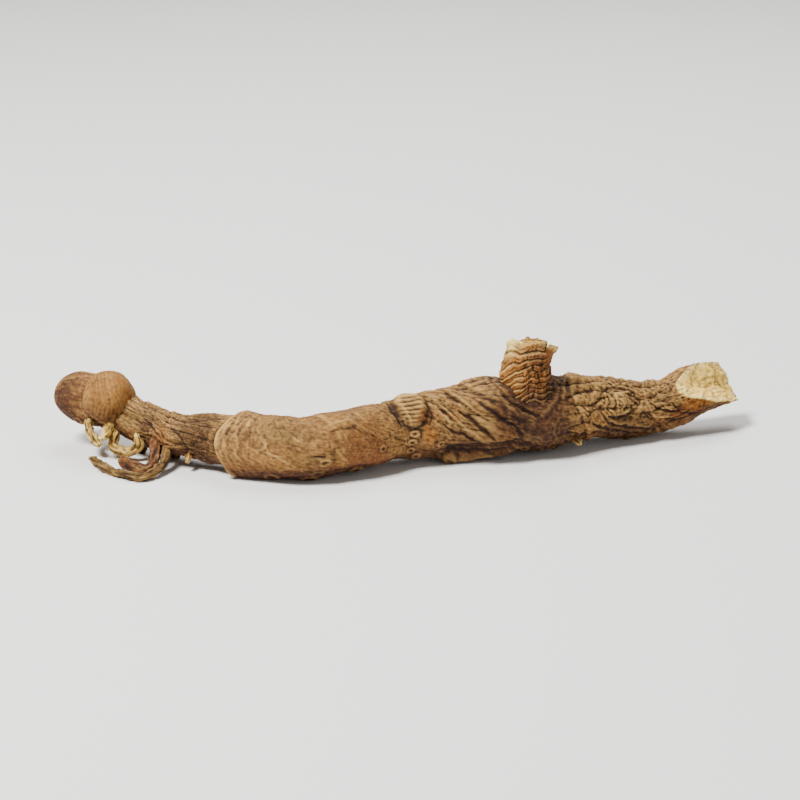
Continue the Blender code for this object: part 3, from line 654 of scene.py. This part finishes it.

# The underside and the foot of the shoot are darker, partly the bark's own tone and partly painted shade;
# the lower sides are redder and darker in the same mix of tone and painted shade, and the torn face shows a
# faint olive swirl.
SWIRL_GAP = 1.2
underside_tone_and_shade = smooth(np.abs(angle), math.radians(98), math.radians(150))
low = smooth(np.abs(angle), math.radians(85), math.radians(130))
radius = inset * half / MM
swirl = (radius / SWIRL_GAP - angle / (2 * math.pi) + 0.5 * grain_round(radius / 1.5, angle, 2)) % 1 - 0.5
swirl = bell(swirl, 0.16) * (1 - smooth(radius, 1.8, 3.4))
marks["dusky"] = np.clip(marks["dusky"] + 0.65 * underside_tone_and_shade + 0.75 * (1 - smooth(foot, 1, 6)), 0, 1)
marks["ruddy"] = np.clip(marks["ruddy"] + 0.45 * low, 0, 1)
marks["olive"] = np.maximum((1 - face) * marks["olive"], face * swirl)
marks["cut"] = np.clip(face + (1 - face) * smooth(0.35 * ragged + 0.15 - to_end / MM, -0.2, 0.1), 0, 1)
marks["pale_and_highlight"] = np.clip(pale_and_highlight, 0, 1)
marks["deep"] = np.clip(deep, 0, 1)
rhizome = rolled("rhizome_bark", places, marks, unrolled(row, half * inset, angle))


def linear(red, green, blue):
    """A colour given as it looks on a screen, from 0 to 255."""
    return (*(((value / 255 + 0.055) / 1.055) ** 2.4 for value in (red, green, blue)), 1)


# The sockets of a Mix node that are for the factor and for colours.
MIX_INPUTS = (0, 6, 7)
MIX_OUTPUT = 2


class Finish:
    """A material's nodes, added one after another."""

    def __init__(self, name, roughness):
        self.material = bpy.data.materials.new(name)
        self.material.use_nodes = True
        self.nodes = self.material.node_tree.nodes
        self.links = self.material.node_tree.links
        self.shader = self.nodes["Principled BSDF"]
        self.shader.inputs["Roughness"].default_value = roughness
        self.shader.inputs["Specular IOR Level"].default_value = 0.25
        self.where = self.nodes.new("ShaderNodeTexCoord").outputs["Object"]

    def mark(self, name, output="Fac"):
        """What the mesh holds under this name."""
        node = self.nodes.new("ShaderNodeAttribute")
        node.attribute_name = name
        return node.outputs[output]

    def noise(self, scale, detail, where=None, stretch=(1, 1, 1), rough=0.55):
        """Noise whose lumps are about 1 / scale across."""
        mapping = self.nodes.new("ShaderNodeMapping")
        mapping.inputs["Scale"].default_value = stretch
        self.links.new(where or self.where, mapping.inputs["Vector"])
        node = self.nodes.new("ShaderNodeTexNoise")
        node.inputs["Scale"].default_value = scale
        node.inputs["Detail"].default_value = detail
        node.inputs["Roughness"].default_value = rough
        self.links.new(mapping.outputs["Vector"], node.inputs["Vector"])
        return node.outputs["Fac"]

    def ramp(self, value, low, high, to_low=0.0, to_high=1.0):
        """The value, stretched so that low and high become two other numbers."""
        node = self.nodes.new("ShaderNodeMapRange")
        for name, number in zip(("From Min", "From Max", "To Min", "To Max"), (low, high, to_low, to_high)):
            node.inputs[name].default_value = number
        self.links.new(value, node.inputs["Value"])
        return node.outputs["Result"]

    def mix(self, share, first, second):
        """The first colour with this share of the second in it."""
        node = self.nodes.new("ShaderNodeMix")
        node.data_type = "RGBA"
        for slot, value in zip(MIX_INPUTS, (share, first, second)):
            if isinstance(value, tuple):
                node.inputs[slot].default_value = value
            else:
                self.links.new(value, node.inputs[slot])
        return node.outputs[MIX_OUTPUT]

    def tinted(self, colour, name, strength, shade):
        """The colour, changed to the shade where the mesh's mark of this name says so."""
        node = self.nodes.new("ShaderNodeMath")
        node.operation = "MULTIPLY"
        self.links.new(self.mark(name), node.inputs[0])
        node.inputs[1].default_value = strength
        return self.mix(node.outputs["Value"], colour, shade)

    def bump(self, height, distance, below=None):
        node = self.nodes.new("ShaderNodeBump")
        node.inputs["Distance"].default_value = distance
        node.inputs["Strength"].default_value = 1.0
        self.links.new(height, node.inputs["Height"])
        if below is not None:
            self.links.new(below, node.inputs["Normal"])
        return node.outputs["Normal"]


OCHRE = linear(136, 92, 43)
BROWN = linear(92, 58, 26)
TAN = linear(166, 121, 60)
RUDDY_AND_SHADE = linear(112, 50, 16)
GOLDEN = linear(176, 104, 22)
OLIVE = linear(108, 86, 34)
DUSKY_AND_SHADE = linear(62, 26, 13)
PALE_AND_HIGHLIGHT = linear(212, 170, 100)
DARK_GRAIN_AND_SHADE = linear(30, 12, 4)
FRESH = linear(255, 231, 150)
CREAM = linear(255, 218, 114)
STRAW = linear(242, 184, 80)


def finished(name, base, other, bright):
    """Matt corky bark: mottled, finely lined across the stem, with a painted highlight on ridges and
    painted shade in creases, and the pale torn flesh of the broken ends."""
    look = Finish(name, 0.8)
    skin = look.mark("skin", "Vector")
    colour = look.mix(look.ramp(look.noise(150, 4), 0.4, 0.62), base, other)
    colour = look.mix(look.ramp(look.noise(700, 4), 0.5, 0.68, 0.0, 0.6), colour, bright)
    lines = look.noise(1.0, 5, skin, (2.6, 0.35, 0.35), 0.6)
    colour = look.mix(look.ramp(lines, 0.56, 0.74, 0.0, 0.5), colour, DARK_GRAIN_AND_SHADE)
    colour = look.mix(look.ramp(lines, 0.44, 0.3, 0.0, 0.45), colour, bright)
    # Pale rims and lines, with painted highlights on the ridges.
    colour = look.tinted(colour, "pale_and_highlight", 0.75, PALE_AND_HIGHLIGHT)
    # The ruddy and dusky marks are partly the bark's own tones and partly painted shade.
    colour = look.tinted(colour, "ruddy", 0.8, RUDDY_AND_SHADE)
    colour = look.tinted(colour, "golden", 0.8, GOLDEN)
    colour = look.tinted(colour, "olive", 0.8, OLIVE)
    colour = look.tinted(colour, "dusky", 0.92, DUSKY_AND_SHADE)
    speckle = look.noise(1900, 4, rough=0.65)
    colour = look.mix(look.ramp(speckle, 0.54, 0.72, 0.0, 0.5), colour, DARK_GRAIN_AND_SHADE)
    colour = look.mix(look.ramp(speckle, 0.46, 0.3, 0.0, 0.35), colour, bright)
    colour = look.tinted(colour, "pale_and_highlight", 0.2, PALE_AND_HIGHLIGHT)
    flesh = look.mix(look.ramp(look.noise(1500, 4), 0.4, 0.7), CREAM, STRAW)
    flesh = look.tinted(flesh, "pale_and_highlight", 0.7, FRESH)
    flesh = look.tinted(flesh, "olive", 0.75, OLIVE)
    colour = look.mix(look.mark("cut"), colour, flesh)
    # Painted shade in creases and hollows.
    colour = look.tinted(colour, "deep", 0.93, DARK_GRAIN_AND_SHADE)
    look.links.new(colour, look.shader.inputs["Base Color"])
    look.links.new(look.ramp(speckle, 0.3, 0.7, 0.68, 0.92), look.shader.inputs["Roughness"])
    coarse = look.bump(lines, 0.18 * MM)
    look.links.new(look.bump(speckle, 0.1 * MM, below=coarse), look.shader.inputs["Normal"])
    return look.material


rhizome.data.materials.append(finished("rhizome_bark", OCHRE, BROWN, TAN))
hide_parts("rhizome")
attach(rhizome, "root")

# The shoot stub.
# The base of a leafy shoot, broken off. It is built of many thin leaf bases packed round each other,
# whose torn edges rise to the right as wavy rings. It grew out of the rhizome and is one with it.

SHOOT_ROW_GAP = 0.12 * MM
SHOOT_TOP_ROWS = 20
SHOOT_COLUMNS = 181
TORN_SIDE = math.radians(140)
TIP_SIDE = math.radians(32)
TIP_HEIGHT = 1.5 * MM

shoot_rows = [(0.0, 0.0)] + side_rows(0, SHOOT.length, SHOOT_ROW_GAP)
skin_rows = len(shoot_rows)
shoot_rows += face_rows(SHOOT.length, SHOOT_TOP_ROWS)
row, inset, angle = sheet(shoot_rows, SHOOT_COLUMNS)
sway = 1.0 * MM * grain(2 * np.cos(angle), 2 * np.sin(angle), row / (5 * MM))
levelled = 0.75 * smooth(row, SHOOT.length / 2, SHOOT.length)
distance = row - (2.2 * MM * np.cos(angle) + sway) * (1 - levelled) * inset
centre, half, along, zero, side = SHOOT.at(distance)
lumps = grain(2.2 * np.cos(angle), 2.2 * np.sin(angle), row / (3 * MM))

# Torn edges of the leaf bases: close together low down, wider apart and smoother near the top, and broken
# up at the right. Each stands out over the next one inside it.
heights = np.linspace(-4, 20, 400) * MM
spacing = MM * (1.05 + 0.95 * smooth(heights, 7 * MM, SHOOT.length))
edges_below = np.concatenate(([0], np.cumsum(np.diff(heights) / spacing[1:])))
wavy = row + 1.0 * MM * np.cos(2 * angle) * (1 - levelled)
waves = 0.45 * grain_round(row / (3 * MM), angle, 3.5, 8) + 0.2 * grain_round(row / (1.5 * MM), angle, 9)
wavy += MM * (1 - 0.7 * levelled) * waves
phase = np.interp(wavy, heights, edges_below) % 1
broken = smooth(np.abs(turn_between(angle, TORN_SIDE)), math.radians(80), math.radians(35))
broken = broken * smooth(row, 3 * MM, 8 * MM) * (1 - 0.6 * smooth(row, 12.5 * MM, 15 * MM))
edge_line = bell(phase - 0.9, 0.15)
gap_line = bell(np.minimum(phase, 1 - phase), 0.1)
mid_line = bell(phase - 0.45, 0.1) * smooth(grain_round(row / (2 * MM), angle, 3, 12), -0.1, 0.2)
strips = grain_round(row / (5 * MM), angle, 9, 5)
chips = grain_round(row / (1.2 * MM), angle, 5, 15)
relief = 0.7 * MM * lumps + 0.42 * MM * (phase**1.5 - 0.5) * (1 + 0.8 * lumps) * (1 - 0.35 * broken)
relief -= MM * (0.24 * gap_line + 0.12 * mid_line)
relief -= MM * broken * (0.28 * bell(strips, 0.06) + 0.25 * smooth(chips, 0.1, 0.35))
relief += 0.09 * MM * grain_round(row / (0.7 * MM), angle, 9)
relief += 0.05 * MM * grain_round(row / (0.35 * MM), angle, 18, 3)
face = (np.arange(len(shoot_rows)) >= skin_rows)[:, None] + 0 * angle
outward = out_of(zero, side, angle)
places = centre + outward * ((half + relief) * inset)[..., None]

# The top is torn in steps, lower at the back, with a pale tip that stands up at its left.
steps = (1 - inset) * 3.4 + 0.5 * grain_round(inset * 2, angle, 1.6, 4) * inset
torn = 0.5 * MM * (steps % 1 - 0.5) * inset + 0.3 * MM * grain_at(places, 0.9 * MM)
near_top = bell(SHOOT.length - row, 1.8 * MM)
ragged = 0.45 * MM * grain_round(0.5, angle, 3.4, 2) + 0.3 * MM * grain_round(0.5, angle, 9, 6)
down = 0.15 * MM + 0.7 * MM * (1 + inset * np.cos(angle + math.radians(95)))
at_tip = bell(turn_between(angle, TIP_SIDE), math.radians(17))
top = ((ragged + TIP_HEIGHT * at_tip) * inset**2 - down) * near_top
places += along * (top + torn * face)[..., None]

# Painted shade in the gaps between leaf bases, in hollows and in the split strips, and a painted highlight
# on the ridges; the torn edges themselves are pale.
hollow = blurred(relief, 3) - relief
deep = 0.85 * gap_line + 0.5 * mid_line + np.clip(hollow / (0.1 * MM), 0, 1) * 0.3
deep += broken * (0.55 * bell(strips, 0.05) + 0.35 * smooth(chips, 0.1, 0.3))
pale_and_highlight = 0.9 * edge_line * (1 - 0.6 * broken) + np.clip(-hollow / (0.1 * MM), 0, 1) * 0.35
pale_and_highlight += near_top * (0.35 - 0.2 * broken) + 0.3 * broken * bell(np.abs(strips) - 0.2, 0.08)
# Painted shade in the steps of the torn top.
face_deep = face * 0.9 * bell(np.minimum(steps % 1, 1 - steps % 1), 0.14)
# The stub is darker and redder towards its foot, partly the bark's own tone and partly painted shade.
marks = {
    "dusky": np.clip(0.85 * smooth(row, 8.5 * MM, 5 * MM) + 0.25 * broken * smooth(chips, 0, 0.3), 0, 1),
    "ruddy": np.clip(0.75 * broken + 0.25 * smooth(row, 12 * MM, 6 * MM), 0, 1),
    "golden": (0.4 - 0.1 * broken) * smooth(grain_round(row / (3 * MM), angle, 2), -0.2, 0.3),
    "olive": 0 * distance,
    "cut": np.clip(0.3 * face + 1.5 * near_top * at_tip, 0, 1),
    "pale_and_highlight": np.clip(pale_and_highlight * (1 - face) + near_top * at_tip, 0, 1),
    "deep": np.clip(deep * (1 - face) * (1 - 0.6 * near_top * at_tip) + face_deep, 0, 1),
}
shoot_stub = rolled("shoot_stub", places, marks, unrolled(row, half, angle))
shoot_stub.data.materials.append(finished("shoot_bark", linear(138, 86, 34), linear(98, 54, 18), TAN))
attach(shoot_stub, "root")

# The torn sheath.
# A thin dry strip of one leaf base that has torn loose at the right of the stub's top and curls away. It
# is still fast at its foot.

STRIP = Stem(
    ((20.6, 10.3, 12.4, 1.1), (21.7, 9.9, 14.0, 1.5), (22.1, 9.6, 15.4, 1.45), (22.9, 9.5, 16.4, 1.0)),
    (-0.75, 0.66, 0.0),
)
HALF_THICK = 0.14 * MM
STRIP_ROW_GAP = 0.15 * MM
STRIP_COLUMNS = 49

strip_rows = [(0, 0)] + side_rows(0, STRIP.length, STRIP_ROW_GAP) + [(STRIP.length, 0.6), (STRIP.length, 0)]
row, inset, angle = sheet(strip_rows, STRIP_COLUMNS)
centre, half, along, zero, side = STRIP.at(row)
wide = half + 0.5 * MM * grain_round(row / (1.1 * MM), angle, 1.4, 6)
wide += 0.3 * MM * grain_round(row / (0.5 * MM), angle, 2, 16)
thin = HALF_THICK + 0.03 * MM * grain_round(row / (0.8 * MM), angle, 2)
curl = 0.5 * MM * np.sin(angle) ** 2 + 0.2 * MM * grain_at(centre, 1.5 * MM)
ragged = 0.7 * MM * grain_round(0.3, angle, 2.2, 9) * bell(row - STRIP.length, 1.2 * MM) * inset
places = centre + zero * (thin * np.cos(angle) * inset + curl)[..., None]
places += side * (wide * np.sin(angle) * inset)[..., None] + along * ragged[..., None]
at_edge = smooth(np.abs(np.sin(angle)), 0.75, 0.98)
veins = grain(np.sin(angle) * 6, row / (5 * MM), 0)
marks = {
    "dusky": 0.15 + 0.5 * smooth(-veins, -0.1, 0.3),
    "ruddy": 0.4 + 0.5 * smooth(veins, -0.1, 0.3),
    "golden": 0.3 + 0 * row,
    "olive": 0 * row,
    "cut": 0.5 * bell(row - STRIP.length, 0.7 * MM),
    "pale_and_highlight": np.clip(0.8 * at_edge + 0.6 * bell(row - STRIP.length, 0.8 * MM), 0, 1),
    "deep": 0.6 * bell(veins, 0.06),
}
flat_skin = np.stack((row / MM, np.cos(angle) + 0 * row, 2 * np.sin(angle) + 0 * row), -1)
torn_sheath = rolled("torn_sheath", places, marks, flat_skin)
torn_sheath.data.materials.append(shoot_stub.data.materials[0])
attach(torn_sheath, "root")

# The side bud.
# A rounded bud that never sprouted, at the left end. Its close scale leaves show as fine arcs.

BUD_ROW_GAP = 0.16 * MM
BUD_DOME = 3.8 * PERCENT
BUD_DOME_ROWS = 34
BUD_COLUMNS = 161
SCALE_GAP = 0.8
MID_HEIGHT = 11
WRINKLE_SIZE = np.array((1.3, 3.0, 3.0)) * MM
# A small wart on the near side: across, and up as it is seen from 18 degrees above.
WART_ACROSS = -57.3
WART_UP = 17.9
SEEN_UP = np.array((0, 0.309, 0.951))

bud_rows = [(0, 0)] + side_rows(0, BUD.length - BUD_DOME, BUD_ROW_GAP)
bud_rows += [(BUD.length - depth, inset) for depth, inset in reversed(dome_rows(BUD_DOME_ROWS, BUD_DOME))]
row, inset, angle = sheet(bud_rows, BUD_COLUMNS)
centre, half, along, zero, side = BUD.at(row)
outward = out_of(zero, side, angle)
plain = centre + outward * (half * inset)[..., None]
ball_across, ball_back, ball_up = np.moveaxis(plain / MM, -1, 0)
arcs = ball_across + 0.05 * (ball_up - MID_HEIGHT) ** 2 + 0.3 * grain_at(plain, 2 * MM)
arcs = (arcs / SCALE_GAP) % 1
fine = grain_at(plain, 0.9 * MM)
wrinkles = grain_at(plain, WRINKLE_SIZE)
faint = smooth(ball_across, -59.5, -57.5) * (1 - smooth(ball_across, -54.5, -52.5))
faint = (0.3 + 0.7 * faint) * np.clip(0.7 + 1.2 * fine, 0.1, 1)
wart = bell(np.hypot(ball_across - WART_ACROSS, plain @ SEEN_UP / MM - WART_UP), 0.5) * (ball_back < 11)
relief = 0.5 * MM * grain_round(row / (4 * MM), angle, 1.3) + 0.25 * MM * wart
relief += MM * (0.04 * faint * np.cos(2 * math.pi * arcs) - 0.08 * bell(wrinkles, 0.04))
relief += MM * (0.05 * fine + 0.04 * grain_at(plain, 0.45 * MM))
places = centre + outward * ((half + relief) * inset)[..., None]
# The lower near side and the foot of the bud are darker, partly the bark's own tone and partly painted
# shade. Painted shade lies in its creases and between the arcs, and a painted highlight on its bumps.
hollow = blurred(relief, 3) - relief
dusky = 0.6 * smooth(np.sin(angle), 0.4, 0.95) * smooth(fine, -0.4, 0.4) * smooth(row, 9 * MM, 6 * MM)
dusky += 0.7 * smooth(fine, -0.5, 0.3) * smooth(row, 7 * MM, 3.5 * MM)
pale_and_highlight = 0.6 * wart + 0.5 * faint * bell(arcs - 0.5, 0.14) + np.clip(-hollow / (0.08 * MM), 0, 1) * 0.25
deep = 0.28 * faint * bell(np.minimum(arcs, 1 - arcs), 0.12) + np.clip(hollow / (0.08 * MM), 0, 1) * 0.3
marks = {
    "dusky": np.clip(dusky, 0, 1),
    "ruddy": 0.3 * smooth(fine, -0.1, 0.4),
    "golden": np.clip(0.15 + 0.3 * fine, 0, 1),
    "olive": 0 * row,
    "cut": 0 * row,
    "pale_and_highlight": np.clip(pale_and_highlight, 0, 1),
    "deep": np.clip(deep + 0.3 * bell(wrinkles, 0.035), 0, 1),
}
side_bud = rolled("side_bud", places, marks, unrolled(row, half * inset, angle))
side_bud.data.materials.append(finished("bud_bark", linear(142, 99, 46), linear(108, 72, 30), TAN))
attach(side_bud, "root")

# The rootlets.
# Thin roots that shrivelled and broke off as the rhizome dried. Most are short stubs, and a few curl in
# front of the neck. All grow out of the rhizome.

# Thickness in mm, tones, then stations from a start well inside the rhizome: across, back and up.
ROOTLETS = (
    (1.9, {"olive": 0.25, "golden": 0.4, "cut": 0.45}, (
        (-40.1, 10.6, 4.9), (-40.9, 8.5, 2.1), (-39.7, 7.6, 1.4),
        (-38.1, 7.2, 1.4), (-37.0, 7.2, 2.6), (-37.4, 7.6, 3.9),
    )),
    (2.0, {"golden": 0.3, "cut": 0.6}, ((-40.9, 11.7, 5.8), (-41.8, 8.8, 3.8), (-42.3, 7.4, 3.5))),
    (1.7, {"cut": 0.45, "olive": 0.2}, (
        (-44.6, 13.6, 5.7), (-44.6, 11.0, 3.9), (-43.8, 9.1, 2.8),
        (-42.9, 8.2, 2.0),
    )),
    (2.1, {"ruddy": 0.4, "dusky": 0.4}, (
        (-35.2, 9.6, 4.3), (-34.5, 4.5, 2.2), (-35.2, 1.4, 0.8),
        (-37.1, 2.4, 0.75), (-38.5, 3.9, 0.8), (-39.6, 5.3, 0.9),
    )),
    (1.6, {"olive": 0.7, "dusky": 0.2}, (
        (-32.6, 7.0, 4.1), (-33.2, 2.0, 1.4), (-35.8, -1.4, 0.6),
        (-38.5, -0.2, 0.6), (-41.5, 2.6, 0.6), (-43.8, 6.8, 0.6),
    )),
    (2.4, {"dusky": 0.5}, ((-31.8, 8.0, 4.0), (-31.9, 8.4, 1.9), (-32.1, 8.8, -0.3))),
    (2.2, {"dusky": 0.5}, ((-36.6, 10.2, 4.7), (-36.8, 10.6, 2.0), (-37.1, 11.0, -0.3))),
    (2.4, {"dusky": 0.4}, ((33.8, 18.0, 4.6), (33.9, 17.6, 2.0), (34.0, 17.3, -0.3))),
    (2.2, {"dusky": 0.4}, ((36.9, 18.9, 4.5), (37.0, 19.6, 2.0), (37.1, 20.1, -0.3))),
    (1.5, {"golden": 0.3}, ((-29.6, 6.2, 4.1), (-29.6, 3.6, 2.3), (-29.7, 2.6, 1.5))),
    (1.5, {"ruddy": 0.3}, ((-26.0, 5.6, 3.6), (-26.4, 9.0, 2.2), (-27.4, 10.6, 1.6))),
    (1.6, {"ruddy": 0.3}, ((2.0, 8.6, 4.4), (1.8, 12.2, 2.6), (0.8, 13.6, 1.9))),
    (1.4, {"dusky": 0.5}, ((25.0, 12.6, 4.2), (25.8, 10.4, 2.7), (26.6, 9.8, 1.8))),
)
ROOTLET_ROW_GAP = 0.22 * MM
ROOTLET_COLUMNS = 37

rootlet_mesh = bmesh.new()
for number, (thickness, tones, stations) in enumerate(ROOTLETS):
    limb = Stem([(*place, thickness * MM / 2 / PERCENT) for place in stations], LEFT, carried=True)
    limb_rows = [(0, 0)] + side_rows(0, limb.length, ROOTLET_ROW_GAP)
    limb_rows += [(limb.length + past * MM, inset) for past, inset in ((0.1, 0.8), (0.2, 0.45), (0.2, 0))]
    row, inset, angle = sheet(limb_rows, ROOTLET_COLUMNS)
    centre, half, along, zero, side = limb.at(row)
    outward = out_of(zero, side, angle)
    furrows = grain_round(row / (3 * MM), angle, 2.2, number)
    knots = grain_round(row / (0.7 * MM), angle, 1.2, number)
    crease = bell(grain_round(row / (4 * MM), angle, 2.6, number + 40), 0.07)
    relief = 0.35 * MM * grain_round(row / (1.3 * MM), angle, 1)
    relief += MM * (0.2 * furrows + 0.16 * knots - 0.15 * crease)
    relief -= 0.4 * half * bell(row - limb.length, 0.9 * MM)
    places = centre + outward * ((half + relief) * inset)[..., None]
    places += along * (0.5 * MM * bell(row - limb.length, 0.6 * MM) * furrows)[..., None]
    places[..., 2] = np.maximum(places[..., 2], 0)
    end = bell(row - limb.length, 0.5 * MM)
    marks = {tone: tones.get(tone, 0) + 0 * row for tone in ("dusky", "ruddy", "golden", "olive", "cut")}
    marks["cut"] = np.clip(marks["cut"] + (0.4 + marks["cut"]) * end, 0, 1)
    # Painted shade in the furrows, knots and creases, and a painted highlight on the ridges; the broken end
    # is pale.
    deep = 0.8 * smooth(-furrows, 0.05, 0.4) + 0.5 * smooth(-knots, 0.1, 0.5) + 0.8 * crease
    marks["pale_and_highlight"] = np.clip(0.6 * smooth(furrows, 0.05, 0.4) + 0.5 * end, 0, 1)
    marks["deep"] = np.clip(deep, 0, 1)
    limb_piece = rolled("rootlet", places, marks, unrolled(row, half, angle))
    rootlet_mesh.from_mesh(limb_piece.data)
    bpy.data.meshes.remove(limb_piece.data)
rootlets = piece_of("rootlets", rootlet_mesh)
rootlets.data.materials.append(finished("rootlet_bark", linear(128, 84, 42), linear(88, 54, 26), TAN))
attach(rootlets, "root")

# Light, floor and camera.
# A pale studio floor that curves up behind, one large soft light from the upper left, a fill from the
# right, and a long lens at the height that the root is seen from.

FLOOR_REACH = 1.5
FLOOR_BEND = 0.7

floor_mesh = bmesh.new()
bmesh.ops.create_grid(floor_mesh, x_segments=1, y_segments=1, size=FLOOR_REACH)
back = [edge for edge in floor_mesh.edges if all(vertex.co.y > 0 for vertex in edge.verts)]
wall = bmesh.ops.extrude_edge_only(floor_mesh, edges=back)
wall_top = [corner for corner in wall["geom"] if isinstance(corner, bmesh.types.BMVert)]
bmesh.ops.translate(floor_mesh, verts=wall_top, vec=(0, 0, FLOOR_REACH))
bmesh.ops.bevel(
    floor_mesh, geom=back, offset=FLOOR_BEND, affect="EDGES", segments=16, profile=0.5, material=-1
)
bmesh.ops.recalc_face_normals(floor_mesh, faces=floor_mesh.faces)
floor = piece_of("floor", floor_mesh)
paper = Finish("floor_paper", 0.9)
paper.shader.inputs["Base Color"].default_value = (0.82, 0.81, 0.79, 1)
floor.data.materials.append(paper.material)

world = bpy.data.worlds.new("studio")
world.use_nodes = True
world.node_tree.nodes["Background"].inputs["Color"].default_value = (1, 0.985, 0.96, 1)
world.node_tree.nodes["Background"].inputs["Strength"].default_value = 0.2
bpy.context.scene.world = world

LIGHT_AIM = Vector((0, 0, 10 * MM))


def soft_light(name, place, size, watts):
    data = bpy.data.lights.new(name, "AREA")
    data.size = size
    data.energy = watts
    lamp = bpy.data.objects.new(name, data)
    lamp.location = place
    lamp.rotation_euler = (LIGHT_AIM - Vector(place)).to_track_quat("-Z", "Y").to_euler()
    bpy.context.scene.collection.objects.link(lamp)


soft_light("key_light", (-0.34, -0.22, 0.62), 0.20, 12)
soft_light("fill_light", (0.55, -0.50, 0.35), 0.60, 1.0)
soft_light("top_light", (0.05, 0.35, 0.55), 0.40, 4)

VIEW_HEIGHT = math.radians(18)
LENS = 120
SENSOR = 36
ROOT_SHARE = 0.875  # of the picture's width
aim = Vector((0, 0, 10.5 * MM))
away = (cad_box[1][0] - cad_box[0][0]) / ROOT_SHARE * LENS / SENSOR
camera_data = bpy.data.cameras.new("camera")
camera_data.lens = LENS
camera_data.sensor_width = SENSOR
camera_data.clip_start = 0.01
camera = bpy.data.objects.new("camera", camera_data)
camera.location = aim + Vector((0, -math.cos(VIEW_HEIGHT), math.sin(VIEW_HEIGHT))) * away
camera.rotation_euler = (math.pi / 2 - VIEW_HEIGHT, 0, 0)
bpy.context.scene.collection.objects.link(camera)
bpy.context.scene.camera = camera
